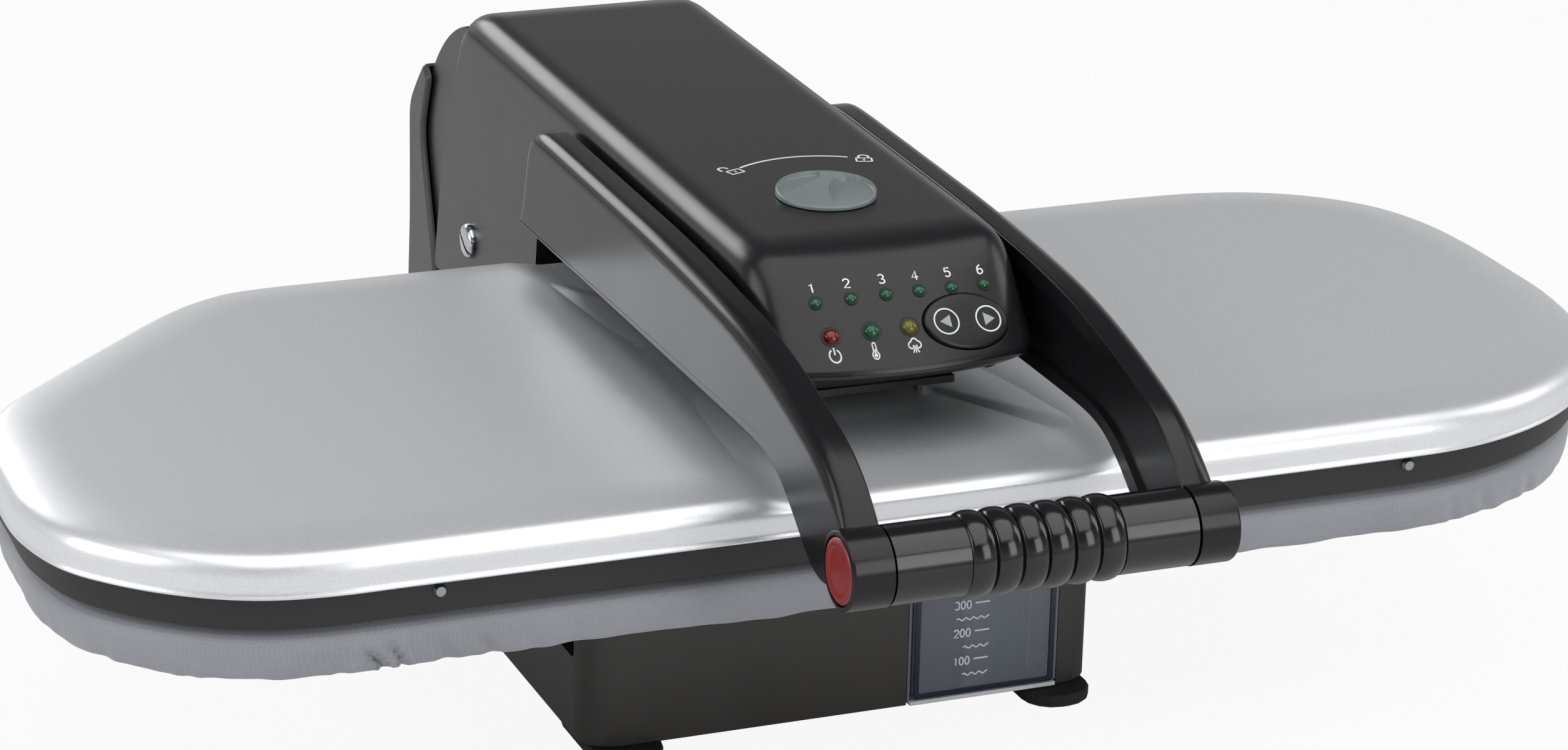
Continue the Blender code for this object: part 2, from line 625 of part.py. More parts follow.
cover_inner = [ring(sheet, rim_low)] + [ring(max(amount, 0) + sheet, plate_top - sheet + drop * (1 - sheet / rim_round))
                                        for amount, drop in rim_arc]


def plate_shell():
    work = bmesh.new()
    rows = [[work.verts.new(p) for p in r] for r in cover_outer]
    inside = [[work.verts.new(p) for p in r] for r in cover_inner]
    count = len(rim_line)
    for group in (rows, inside):
        for lower, upper in zip(group, group[1:]):
            for i in range(count):
                work.faces.new((lower[i], lower[(i + 1) % count], upper[(i + 1) % count], upper[i]))
        work.faces.new(group[-1])
    for i in range(count):
        work.faces.new((rows[0][i], inside[0][i], inside[0][(i + 1) % count], rows[0][(i + 1) % count]))
    return keep("plate_cover", to_mesh(work, "plate_cover"), finish("silver paint", silver_paint, 0.4, 0.7))


plate_cover = plate_shell()

# Pan-head screws that hold the band, on its front and back faces
screw_radius = 0.0028
screw_head = 0.0015
screw_x = 0.203
screw_rise = 0.0090
screw_front = -plate_front + band_out
screw_back = plate_back - band_out
for name, x, y, out in (("band_screw_front_left", -screw_x, screw_front, -1),
                        ("band_screw_front_right", screw_x, screw_front, -1),
                        ("band_screw_rear_left", -screw_x * 0.85, screw_back, 1),
                        ("band_screw_rear_right", screw_x, screw_back, 1)):
    head = rod(name, (x, y + out * seat, press_height + screw_rise),
               (x, y + out * (seat + screw_head), press_height + screw_rise), screw_radius,
               metal(name), sides=12, end_radius=screw_radius * 0.7)

# Heating element cast on the soleplate, thermostat, steam chamber and the posts up to the cover
element_radius = 0.0040
element_rise = sole_low + sole_thick + seat + element_radius
element_x, element_y = 0.215, 0.080
element_steps = 5
element_plan = rounded([(-element_x, plate_middle - element_y), (element_x, plate_middle - element_y),
                        (element_x, plate_middle + element_y), (-element_x, plate_middle + element_y)],
                       [element_y * 0.9] * 4, steps=element_steps)
element_end = 0.020           # its ends lie this far from the middle, at the back
loop = ([(-element_end, plate_middle + element_y)] + element_plan[-element_steps - 1:]
        + element_plan[:-element_steps - 1] + [(element_end, plate_middle + element_y)])
tube("heating_element", [(x, y, element_rise) for x, y in loop], element_radius, metal("element steel"), 2)
thermostat_radius = 0.0110
thermostat_high = 0.0110
thermostat_x = 0.100
rod("thermostat", (thermostat_x, plate_middle, sole_low + sole_thick + seat),
    (thermostat_x, plate_middle, sole_low + sole_thick + seat + thermostat_high), thermostat_radius,
    metal("thermostat steel"))
chamber_half_x = 0.0480
chamber_half_y = 0.0300
chamber_high = 0.0130
steam_chamber = box("steam_chamber", (-chamber_half_x, plate_middle - chamber_half_y, sole_low + sole_thick + seat),
                    (chamber_half_x, plate_middle + chamber_half_y, sole_low + sole_thick + seat + chamber_high),
                    metal("chamber aluminium"), edge=chamber_high / 6)
post_radius = 0.0040
post_x, post_y = 0.032, 0.052
hanger_half_x = 0.0420
hanger_low = plate_top + seat
hanger_thick = 0.0030
for name, x, y in (("cover_post_front_left", -1, -1), ("cover_post_front_right", 1, -1),
                   ("cover_post_rear_left", -1, 1), ("cover_post_rear_right", 1, 1)):
    rod(name, (x * post_x, plate_middle + y * post_y, sole_low + sole_thick + seat),
        (x * post_x, plate_middle + y * post_y, plate_top - sheet - seat), post_radius, metal(name), sides=12)

# Head beam: a steel channel from the axle over the plate, on the hanger that carries the plate
beam_half = 0.0200
beam_eye = 0.0140
beam_rise = 0.0130            # from the plate's cover to the beam
beam_deep = 0.0200
beam_low = plate_top + beam_rise
beam_high = beam_low + beam_deep
beam_front = plate_middle - post_y - post_radius * 3
head_beam = slab("head_beam", [from_hinge(-beam_eye * 0.2, -beam_eye), from_hinge(-beam_eye, -beam_eye * 0.3),
                               (hinge_y - beam_eye * 4.2, beam_low), (beam_front, beam_low), (beam_front, beam_high),
                               (hinge_y - beam_eye * 3.2, beam_high)]
                 + arc((hinge_y, hinge_z), beam_eye, 10, 170, 8),
                 -beam_half, beam_half, metal("beam steel"), across="X")
cut(head_beam, rod("beam_bore", (-base_half_width, hinge_y, hinge_z), (base_half_width, hinge_y, hinge_z),
                   axle_radius + axle_run))
plate_hanger = box("plate_hanger", (-hanger_half_x, plate_middle - post_y - post_radius * 2, hanger_low),
                   (hanger_half_x, plate_middle + post_y + post_radius * 2, hanger_low + hanger_thick),
                   metal("hanger steel"))
cut(plate_hanger, box("hanger_block", (-beam_half, plate_middle - post_y, hanger_low + hanger_thick / 2),
                      (beam_half, plate_middle + post_y * 0.7, beam_low - seat)), "UNION")

# Torsion springs round the axle, between the bracket's ears and the beam
spring_turns = 4
spring_wire = 0.0013
spring_radius = axle_radius + spring_wire + run
spring_points = 8
spring_space = ear_inner - beam_half - 4 * spring_wire
for name, side in (("hinge_spring_left", -1), ("hinge_spring_right", 1)):
    points = []
    for k in range(spring_turns * spring_points + 1):
        angle = math.tau * k / spring_points
        x = side * (beam_half + 2 * spring_wire + spring_space * k / (spring_turns * spring_points))
        points.append((x, hinge_y + spring_radius * math.sin(angle), hinge_z + spring_radius * math.cos(angle)))
    tube(name, points, spring_wire, metal(name), 1)

# Head housing: side profiles joined across the width, the upper edges rounded and the panel bowed out
head_top_rise = 0.0704        # from the plate's cover to the head's top, at its front
head_top_slope = 0.0050       # how much higher its top is at the back
head_top_front, head_top_back = plate_top + head_top_rise, plate_top + head_top_rise + head_top_slope
top_front_in, chin_in, panel_in, skirt_in = 0.0800, 0.0540, 0.0435, 0.0900       # behind the plate's front rim
top_back_in, visor_back, seam_back = 0.0020, 0.0205, 0.0390                      # from the hinge axis
cheek_in, cheek_low_in, cheek_low_back, skirt_back_in = 0.0960, 0.0860, 0.0540, 0.1070
visor_rise, panel_rise, chin_rise, skirt_rise, seam_rise = 0.0624, 0.0289, 0.0229, 0.0054, 0.0069
cheek_drop = 0.0290           # from the hinge axis down to the lower edge of the cheeks
head_top_front_y, head_top_back_y = top_front_in - plate_front, hinge_y - top_back_in
visor_y, visor_z = hinge_y + visor_back, plate_top + visor_rise
panel_low_y, panel_low_z = panel_in - plate_front, plate_top + panel_rise
chin_y, chin_z = chin_in - plate_front, plate_top + chin_rise
skirt_low = plate_top + skirt_rise                    # lower edge of the sides over the plate
skirt_step = 0.0040
top_break = 0.0600            # from the top's front edge to where it runs straight
visor_round_y, visor_round_z = 0.0085, 0.0095
skirt_front_y, skirt_back_y = skirt_in - plate_front, hinge_y - skirt_back_in
cheek_front_y = hinge_y - cheek_in
cheek_low = hinge_z - cheek_drop
cheek_low_front_y, cheek_low_back_y = hinge_y - cheek_low_in, hinge_y + cheek_low_back
seam_mid_y, seam_mid_z = hinge_y + seam_back, plate_top + seam_rise
head_round = 0.0110
panel_bow = 0.0105
side_steps = 5
bow_steps = 5
visor_index = 4               # place of the visor's edge in the outline below

# Outline points of the head's side: place, how far the edge rounding pulls it in, and its share of the bow
head_profile = [
    ((head_top_front_y, head_top_front), (0.35, -1.0), 0.15),
    ((head_top_front_y + top_break, head_top_front + (head_top_back - head_top_front) * 0.18), (0, -1.0), 0),
    ((head_top_back_y, head_top_back), (0, -1.0), 0),
    ((visor_y - visor_round_y, visor_z + visor_round_z), (-0.5, -0.8), 0),
    ((visor_y, visor_z), (-0.55, -0.55), 0),
    ((seam_mid_y, seam_mid_z), (0, 0), 0),
    ((cheek_low_back_y, cheek_low), (0, 0), 0),
    ((cheek_low_front_y, cheek_low), (0, 0), 0),
    ((cheek_front_y, skirt_low + skirt_step), (0, 0), 0),
    ((skirt_back_y, skirt_low), (0, 0), 0),
    ((skirt_front_y, skirt_low), (0, 0), 0.3),
    ((chin_y, chin_z), (0.5, 0.2), 0.8),
    ((panel_low_y, panel_low_z), (0.9, 0.1), 1.0),
    ((panel_low_y + (head_top_front_y - panel_low_y) * 0.5,
      panel_low_z + (head_top_front - panel_low_z) * 0.54), (0.7, -0.4), 0.8),
    ((panel_low_y + (head_top_front_y - panel_low_y) * 0.86,
      panel_low_z + (head_top_front - panel_low_z) * 0.94), (0.5, -0.85), 0.35)]


def head_stations(half, radius):
    """Places across the width with the inset that the rounding has there."""
    result = []
    for k in range(side_steps + 1):
        angle = math.radians(90 * k / side_steps)
        result.append((half - radius * (1 - math.sin(angle)), radius * (1 - math.cos(angle))))
    right = [(x, inset) for x, inset in result]
    flat = [((half - radius) * k / bow_steps, 0.0) for k in range(bow_steps)]
    every = flat + right
    return [(-x, inset) for x, inset in reversed(every[1:])] + every


def head_form(name, half, step, radius, material=None, drop=0.0):
    """The head's outer form, or moved inwards by step for the hollow, which runs out below and at the back."""
    rings = []
    points = [Vector(p) for p, _, _ in head_profile]
    count = len(points)
    moved = []
    for i, point in enumerate(points):
        before = (point - points[i - 1]).normalized()
        after = (points[(i + 1) % count] - point).normalized()
        inward = Vector(((before + after).y, -(before + after).x)).normalized()
        share = max(inward.dot(Vector((before.y, -before.x))), 0.4)
        place = point + inward * step / share
        if drop and i == visor_index:
            place = point + Vector((drop * 0.55, -step * 0.7 - drop * 1.1))
        elif drop and i == visor_index + 1:
            place = point + Vector((drop * 2, 0))
        elif drop and i == visor_index + 2:
            place = point + Vector((drop, -drop))
        elif drop and i == visor_index + 3:
            place = point + Vector((step, -drop))
        elif drop and visor_index + 3 < i < visor_index + 7:
            place = point + Vector((step if i == visor_index + 4 or i == visor_index + 6 else 0, -drop))
        moved.append(place)
    for x, inset in head_stations(half, radius):
        bow = panel_bow * (1 - (x / half) ** 2)
        rings.append([(x, place.x + pull[0] * inset - bow * share, place.y + pull[1] * inset)
                      for place, (_, pull, share) in zip(moved, head_profile)])
    return loft(name, rings, material)


head_cover = head_form("head_cover", head_half, 0.0, head_round, plastic("head plastic"))
cut(head_cover, head_form("head_hollow", head_half - head_wall, head_wall, head_round - head_wall, drop=overrun))
cut(head_cover, rod("cap_bore", (-base_half_width, hinge_y, hinge_z), (base_half_width, hinge_y, hinge_z),
                    shank_radius + axle_run))


def panel_place(x, rise, out):
    """A place on the control panel: x across, rise from its lower edge (0) to its top (1), out along its normal."""
    def surface(x, rise):
        share = rise * 2
        i = 12 if share < 1 else 13
        part = share - (i - 12)
        (a, _, bow_a), (b, _, bow_b) = head_profile[i], head_profile[i + 1]
        bow = panel_bow * (1 - (x / head_half) ** 2) * (bow_a + (bow_b - bow_a) * part)
        return Vector((x, a[0] + (b[0] - a[0]) * part - bow, a[1] + (b[1] - a[1]) * part))
    nudge_share = 0.01
    here = surface(x, rise)
    across = surface(x + nudge_share * head_half, rise) - here
    normal = across.cross(surface(x, rise + nudge_share) - here).normalized()
    return here + normal * out, normal


def panel_rod(name, x, rise, inner, outer, radius, material=None, sides=12, end_radius=None):
    start, _ = panel_place(x, rise, inner)
    end, _ = panel_place(x, rise, outer)
    return rod(name, start, end, radius, material, sides, end_radius)


# Lights in the panel: six level lights on one light bar behind it, and three larger ones
small_radius, large_radius = 0.0022, 0.0031
light_proud, light_deep = 0.0011, 0.0052
light_pitch = 0.0143
row_middle = 0.0021
bar_radius = 0.0012
level_shares = (0.560, 0.583, 0.594, 0.594, 0.583, 0.560)
large_share = 0.315
level_places = [(row_middle + (i - 2.5) * light_pitch, rise) for i, rise in enumerate(level_shares)]
light_material = finish("level_lights", light_green, 0.1)
level_lights = panel_rod("level_lights", *level_places[0], -light_deep, light_proud, small_radius, light_material,
                         end_radius=small_radius * 0.75)
for i, (x, rise) in enumerate(level_places):
    cut(head_cover, panel_rod("level_hole", x, rise, -2 * overrun, overrun, small_radius + seat))
    if i:
        cut(level_lights, panel_rod("level_light", x, rise, -light_deep, light_proud, small_radius,
                                    end_radius=small_radius * 0.75), "UNION")
        ends = [panel_place(*level_places[k], bar_radius * 1.1 - light_deep)[0] for k in (i - 1, i)]
        cut(level_lights, rod("light_bar", ends[0], ends[1], bar_radius, sides=8), "UNION")
for name, x, colour in (("power_light", -2.18, light_red), ("ready_light", -1.03, light_green),
                        ("steam_light", 0.08, light_olive)):
    cut(head_cover, panel_rod(name + "_hole", x * light_pitch, large_share, -2 * overrun, overrun, large_radius + seat))
    panel_rod(name, x * light_pitch, large_share, -light_deep, light_proud, large_radius, finish(name, colour, 0.1),
              end_radius=large_radius * 0.75)

# Set rocker: an oval key that tips about the panel's upward line
rocker_x = 0.0256
rocker_share = 0.31
rocker_half_long, rocker_half_wide = 0.0185, 0.0118
rocker_proud, rocker_deep = 0.0012, 0.0042
rocker_gap = 0.0009
rocker_place, rocker_normal = panel_place(rocker_x, rocker_share, 0)
rocker_side = Vector((1, 0, 0)) - rocker_normal * rocker_normal.x
rocker_side.normalize()
rocker_up = rocker_normal.cross(rocker_side)
rocker_frame = Matrix((rocker_side, rocker_up, rocker_normal)).transposed().to_4x4()
rocker_frame.translation = rocker_place


def oval(name, low, high, grow, material=None):
    points = [((rocker_half_long + grow) * math.cos(math.tau * k / 32),
               (rocker_half_wide + grow) * math.sin(math.tau * k / 32)) for k in range(32)]
    thing = slab(name, points, low, high, material)
    thing.data.transform(rocker_frame)
    return thing


cut(head_cover, oval("rocker_hole", -3 * overrun, 2 * overrun, rocker_gap))
set_rocker = oval("set_rocker", -rocker_deep, rocker_proud, 0.0, plastic("rocker plastic"))
pcb_thick = 0.0016
pcb_depth = 0.0078
pcb_half = 0.0440
pcb_low_share, pcb_high_share = 0.12, 0.80           # how far up the panel its ends lie
pcb_low, _ = panel_place(0, pcb_low_share, -pcb_depth)
pcb_high, _ = panel_place(0, pcb_high_share, -pcb_depth)
pcb_back = (pcb_high - pcb_low).cross(Vector((1, 0, 0))).normalized() * -pcb_thick
pcb_drop = panel_bow
control_board = slab("control_board", [(pcb_low.y + pcb_drop, pcb_low.z), (pcb_high.y + pcb_drop, pcb_high.z),
                                       (pcb_high.y + pcb_drop + abs(pcb_back.y), pcb_high.z - abs(pcb_back.z)),
                                       (pcb_low.y + pcb_drop + abs(pcb_back.y), pcb_low.z - abs(pcb_back.z))],
                     -pcb_half, pcb_half, finish("control_board", board_green, 0.5), across="X")
standoff_radius = 0.0020
standoff_x = 0.0240
standoff_share, standoff_foot_share = 0.72, 0.80      # how far up the panel, and up the board
for side in (-1, 1):
    head, _ = panel_place(side * standoff_x, standoff_share, -head_wall - 3 * seat)
    foot = pcb_low.lerp(pcb_high, standoff_foot_share) + Vector((side * standoff_x, pcb_drop + pcb_thick / 2, 0))
    cut(control_board, rod("standoff", head, foot, standoff_radius, sides=12), "UNION")

# Rear drum of the head: side plates carried by the axle, and the curved wall between them
drum_half = swing_half - drum_gap
drum_plate = 0.0025
drum_wall = 0.0025
drum_start, drum_end, drum_plate_end = 15.5, 64.0, 104.0
drum_lead_start = -12.0
drum_inner = drum_radius - drum_wall
drum_under = visor_z - hinge_z - head_wall * 3
hub_radius = 0.0120
plate_outline = (arc((hinge_y, hinge_z), drum_under, drum_lead_start, drum_start, 4)
                 + arc((hinge_y, hinge_z), drum_radius, drum_start, drum_plate_end, 18)
                 + arc((hinge_y, hinge_z), hub_radius, drum_plate_end + 60, 300 + drum_lead_start, 8))
head_drum = slab("head_drum", plate_outline, -drum_half, -drum_half + drum_plate, plastic("drum plastic"), across="X")
cut(head_drum, slab("drum_plate_right", plate_outline, drum_half - drum_plate, drum_half, across="X"), "UNION")
cut(head_drum, slab("drum_wall", arc((hinge_y, hinge_z), drum_radius, drum_start, drum_end, 12)
                    + list(reversed(arc((hinge_y, hinge_z), drum_inner, drum_start, drum_end, 12))),
                    -drum_half + drum_plate / 2, drum_half - drum_plate / 2, across="X"), "UNION")
cut(head_drum, rod("drum_bore", (-base_half_width, hinge_y, hinge_z), (base_half_width, hinge_y, hinge_z),
                   axle_radius + axle_run))

# Handle: two arms on pins in the head's sides, the ribbed grip between their ends
arm_inner, arm_outer = 0.0610, 0.0750
boss_outer = 0.0780
boss_radius = 0.0155
grip_radius = 0.0150
rib_count, rib_pitch, rib_rise = 6, 0.0104, 0.0014
bar_y = grip_radius + rib_rise - half_depth
bar_drop = 0.0006             # from the top of the plate's cover down to the bar's middle
bar_z = plate_top - bar_drop
arm_in = 0.1200               # from the hinge axis forward to the arms' rear ends
arm_back = hinge_y - arm_in
arm_rise = 0.0149             # from the plate's cover up to the arms' lower edge
arm_deep = 0.0490
arm_low, arm_high = plate_top + arm_rise, plate_top + arm_rise + arm_deep
arm_edge = 0.0030
arm_shares = (
    (1.0, 0.0), (0.977, 0.735), (0.966, 0.90), (0.946, 0.98), (0.92, 1.0), (0.544, 0.96), (0.361, 0.878),
    (0.278, 0.806), (0.195, 0.673), (0.1275, 0.53), (0.082, 0.418), (0.040, 0.235), (0.006, -0.02),
    (-0.018, -0.30), (0.010, -0.46), (0.045, -0.60), (0.075, -0.60), (0.106, -0.48), (0.141, -0.27),
    (0.176, -0.10), (0.215, -0.02), (0.267, 0.0))
arm_outline = [(bar_y + (arm_back - bar_y) * u, arm_low + (arm_high - arm_low) * v) for u, v in arm_shares]
pivot_in = 0.1430             # from the hinge axis forward to the handle's pins
pivot_rise = 0.0389           # from the plate's cover up to them
pivot_y, pivot_z = hinge_y - pivot_in, plate_top + pivot_rise
pin_radius = 0.0060
pin_end = 0.0700
pin_collar = 0.0095
pin_nut = 0.0085
pin_run = 0.0003
cap_recess = 0.0030
end_cap_radius = 0.0128
grip_rod_radius = 0.0040
grip_rod_half = boss_outer - cap_recess - seat
for name, side in (("left", -1), ("right", 1)):
    low, high = sorted((side * arm_inner, side * arm_outer))
    arm = slab("handle_arm_" + name, arm_outline, low, high, plastic("arm plastic " + name), across="X",
               edge=arm_edge, edge_steps=2)
    cut(arm, rod("arm_boss_" + name, (side * arm_inner, bar_y, bar_z), (side * boss_outer, bar_y, bar_z),
                 boss_radius, sides=32), "UNION")
    cut(arm, rod("cap_recess_" + name, (side * (boss_outer - cap_recess), bar_y, bar_z),
                 (side * (boss_outer + overrun), bar_y, bar_z), end_cap_radius + seat, sides=32))
    cut(arm, rod("rod_bore_" + name, (side * (arm_inner - overrun), bar_y, bar_z),
                 (side * (boss_outer + overrun), bar_y, bar_z), grip_rod_radius + seat))
    cut(arm, rod("pin_bore_" + name, (side * (arm_inner - overrun), pivot_y, pivot_z),
                 (side * (pin_end + seat), pivot_y, pivot_z), pin_radius + pin_run))
    cut(head_cover, rod("pin_hole_" + name, (side * (head_half - head_wall - overrun), pivot_y, pivot_z),
                        (side * (head_half + overrun), pivot_y, pivot_z), pin_radius + seat))
    nut_face = head_half - head_wall - seat
    collar_low, collar_high = head_half + seat, arm_inner - seat
    profile = [(0, pin_end), (pin_radius, pin_end), (pin_radius, collar_high), (pin_collar, collar_high),
               (pin_collar, collar_low), (pin_radius, collar_low), (pin_radius, nut_face), (pin_nut, nut_face),
               (pin_nut, nut_face - head_wall), (0, nut_face - head_wall)]
    turned("handle_pin_" + name, profile, (0, pivot_y, pivot_z), metal("pin steel " + name),
           axis="X" if side > 0 else "-X", sides=16)
    face = boss_outer - cap_recess + seat
    profile = [(0, boss_outer + 0.4 * cap_recess), (end_cap_radius * 0.6, boss_outer + 0.3 * cap_recess),
               (end_cap_radius * 0.92, boss_outer), (end_cap_radius, boss_outer - 0.3 * cap_recess),
               (end_cap_radius, face), (0, face)]
    turned("end_cap_" + name, profile, (0, bar_y, bar_z), finish("end_cap_" + name, cap_red, 0.3),
           axis="X" if side > 0 else "-X", sides=24)
rod("grip_rod", (-grip_rod_half, bar_y, bar_z), (grip_rod_half, bar_y, bar_z), grip_rod_radius, metal("grip_rod"),
    sides=16)
grip_half = arm_inner - seat
grip_profile = [(grip_radius, grip_half)]
for i in reversed(range(rib_count)):
    middle = (i - (rib_count - 1) / 2) * rib_pitch
    for across, rise in ((0.48, -0.6), (0.36, 0.3), (0.16, 1.0), (-0.16, 1.0), (-0.36, 0.3), (-0.48, -0.6)):
        grip_profile.append((grip_radius + rise * rib_rise, middle + across * rib_pitch))
grip_profile += [(grip_radius, -grip_half), (grip_rod_radius + seat, -grip_half), (grip_rod_radius + seat, grip_half),
                 (grip_radius, grip_half)]
turned("handle_grip", grip_profile, (0, bar_y, bar_z), plastic("grip plastic"), axis="X", sides=18)

# Lock knob on top of the head: a low disc with a finger hollow either side, its spindle and the cam under the cover
knob_in = 0.0510              # from the front edge of the head's top back to the knob's middle
knob_y = head_top_front_y + knob_in
knob_radius = 0.0204
knob_high = 0.0036
knob_turned = 38.0            # degrees from straight back to where its pointer stands, over the closed mark
knob_tilt = math.atan((head_top_back - head_top_front) / (head_top_back_y - head_top_front_y))
knob_face = head_top_front + math.tan(knob_tilt) * (knob_y - head_top_front_y) + seat
spindle_radius = 0.0045
spindle_long = 0.0120
hollow_wide, hollow_long, hollow_deep = 0.0095, 0.0160, 0.0024
hollow_out = 0.0150
pointer_long, pointer_wide = 0.0022, 0.0036
knob_frame = Matrix.Translation((0, knob_y, knob_face)) @ Euler((knob_tilt, 0, 0)).to_matrix().to_4x4()
knob_turn = Matrix.Rotation(-math.radians(knob_turned), 4, "Z")


def on_knob(height):
    return knob_frame @ Vector((0, 0, height))


cut(head_cover, rod("spindle_hole", on_knob(-3 * overrun), on_knob(overrun), spindle_radius + seat))
profile = [(0, knob_high), (knob_radius * 0.90, knob_high), (knob_radius * 0.975, knob_high * 0.8),
           (knob_radius, knob_high * 0.5), (knob_radius, 0), (spindle_radius, 0), (spindle_radius, -spindle_long),
           (0, -spindle_long)]
lock_knob = turned("lock_knob", profile, (0, knob_y, knob_face), plastic("knob plastic", knob_grey),
                   axis=(knob_tilt, 0, 0), sides=28)
pointer = box("knob_pointer", (-pointer_wide / 2, knob_radius - pointer_long, knob_high * 0.3),
              (pointer_wide / 2, knob_radius + pointer_long / 2, knob_high * 0.8))
pointer.data.transform(knob_frame @ knob_turn)
cut(lock_knob, pointer, "UNION")
for name, side in (("hollow_left", -1), ("hollow_right", 1)):
    work = bmesh.new()
    bmesh.ops.create_uvsphere(work, u_segments=14, v_segments=8, radius=hollow_wide)
    bmesh.ops.scale(work, vec=(1, hollow_long / hollow_wide, hollow_deep / hollow_wide), verts=work.verts)
    bmesh.ops.translate(work, vec=(side * hollow_out, 0, knob_high), verts=work.verts)
    hollow = keep(name, to_mesh(work, name))
    hollow.data.transform(knob_frame @ knob_turn)
    cut(lock_knob, hollow)
cam_radius, cam_thick = 0.0120, 0.0030
lock_cam = rod("lock_cam", on_knob(-spindle_long - seat - cam_thick), on_knob(-spindle_long - seat), cam_radius,
               metal("cam steel"))

# Moving pieces hang from an empty on their joint's axis
motions = {
    "head_hinge": ((0, hinge_y, hinge_z), ("head_cover", "head_drum", "head_beam", "plate_hanger", "plate_cover",
                                           "insulating_band", "soleplate", "heating_element", "thermostat",
                                           "steam_chamber", "control_board", "level_lights", "power_light",
                                           "ready_light", "steam_light", "handle_pin_left", "handle_pin_right",
                                           "band_screw_front_left", "band_screw_front_right",
                                           "band_screw_rear_left", "band_screw_rear_right",
                                           "cover_post_front_left", "cover_post_front_right",
                                           "cover_post_rear_left", "cover_post_rear_right")),
    "handle_hinge": ((0, pivot_y, pivot_z), ("handle_arm_left", "handle_arm_right", "handle_grip", "grip_rod",
                                             "end_cap_left", "end_cap_right")),
    "knob_turn": ((0, knob_y, knob_face), ("lock_knob", "lock_cam")),
    "tank_slide": ((valve_x, tank_front, tank_low), ("water_tank", "tank_plug")),
    "rocker_tip": (tuple(rocker_place - rocker_normal * rocker_deep / 2), ("set_rocker",))}
for name, (place, movers) in motions.items():
    joint = bpy.data.objects.new(name, None)
    joint.empty_display_size = boss_radius
    joint.location = place
    bpy.context.scene.collection.objects.link(joint)
    for mover in movers:
        piece = bpy.data.objects[mover]
        piece.parent = joint
        piece.matrix_parent_inverse = Matrix.Translation(place).inverted()
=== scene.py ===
import json
import math
import bpy
import bmesh
import numpy as np
from mathutils import Matrix, Vector


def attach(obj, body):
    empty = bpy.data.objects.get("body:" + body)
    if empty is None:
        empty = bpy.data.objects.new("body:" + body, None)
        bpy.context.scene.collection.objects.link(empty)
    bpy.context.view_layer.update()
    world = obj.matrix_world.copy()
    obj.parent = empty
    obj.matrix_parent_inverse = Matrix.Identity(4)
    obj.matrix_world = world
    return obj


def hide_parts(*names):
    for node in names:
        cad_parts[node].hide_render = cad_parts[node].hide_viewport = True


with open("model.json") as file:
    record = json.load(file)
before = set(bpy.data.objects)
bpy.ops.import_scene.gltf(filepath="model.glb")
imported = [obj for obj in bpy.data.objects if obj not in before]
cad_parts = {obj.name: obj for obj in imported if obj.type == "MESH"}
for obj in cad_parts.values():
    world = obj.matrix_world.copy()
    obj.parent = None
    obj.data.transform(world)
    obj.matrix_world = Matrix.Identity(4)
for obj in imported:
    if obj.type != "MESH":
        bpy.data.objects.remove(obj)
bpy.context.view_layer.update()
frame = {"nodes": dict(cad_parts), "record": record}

nodes = frame["nodes"]
print("frame loaded:", len(nodes), "solids")


# Numbers and curves
def smoothStep(x):
    # 0 below 0, 1 above 1, an S-curve between
    x = np.clip(x, 0, 1)
    return x * x * (3 - 2 * x)


def cubic(before, here, ahead, after, steps):
    # points from each row to the next, on a cubic whose slope at a row is taken from its two neighbours
    t = (np.arange(steps) / steps)[None, :, None]
    curve = 0.5 * (2 * here + (ahead - before) * t + (2 * before - 5 * here + 4 * ahead - after) * t ** 2
                   + (3 * here - before - 3 * ahead + after) * t ** 3)
    return curve.reshape(-1, here.shape[-1])


def smoothLoop(table, steps):
    # the cubic through every row of a closed table
    return cubic(*(np.roll(table, shift, 0)[:, None] for shift in (1, 0, -1, -2)), steps)


def smoothPath(table, steps):
    # the cubic through an open table, which starts and ends on its first and last rows
    table = np.asarray(table, float)
    padded = np.vstack([2 * table[:1] - table[1:2], table, 2 * table[-1:] - table[-2:-1]])
    curve = cubic(*(padded[k:len(padded) - 3 + k][:, None] for k in range(4)), steps)
    return np.vstack([curve, table[-1:]])


def roundCorners(table, reach, steps=6):
    # each corner of a closed outline becomes a parabola that touches both its sides, reach away from it
    p = np.asarray(table, float)
    reach = np.broadcast_to(np.asarray(reach, float), len(p))
    start, end = (p + way * np.minimum(reach / np.linalg.norm(way[:, :2], axis=1), 0.5)[:, None]
                  for way in (np.roll(p, 1, 0) - p, np.roll(p, -1, 0) - p))
    t = np.linspace(0, 1, steps + 1)[None, :, None]
    curve = (1 - t) ** 2 * start[:, None] + 2 * t * (1 - t) * p[:, None] + t ** 2 * end[:, None]
    # a corner that ends where the next one starts would give the same point twice
    met = np.linalg.norm(end - np.roll(start, -1, 0), axis=1) < 1e-6
    kept = np.ones(curve.shape[:2], bool)
    kept[met, -1] = False
    return curve[kept]


def lengths(points):
    # how far along the path each point lies
    return np.concatenate([[0], np.cumsum(np.linalg.norm(np.diff(points, axis=0), axis=1))])


def evenLoop(loop, count):
    # the closed loop again with count points, equally far apart
    whole = np.vstack([loop, loop[:1]])
    along = lengths(whole[:, :2])
    at = np.linspace(0, along[-1], count, endpoint=False)
    return np.stack([np.interp(at, along, whole[:, k]) for k in range(whole.shape[1])], 1)


def inward(loop):
    # unit normals of an anticlockwise loop in a plane, pointing into it
    ahead = np.roll(loop, -1, 0) - np.roll(loop, 1, 0)
    return np.stack([-ahead[:, 1], ahead[:, 0]], 1) / np.linalg.norm(ahead, axis=1, keepdims=True)


def box(left, right, low, high):
    # the corners of a rectangle, anticlockwise
    return np.array([(left, low), (right, low), (right, high), (left, high)])


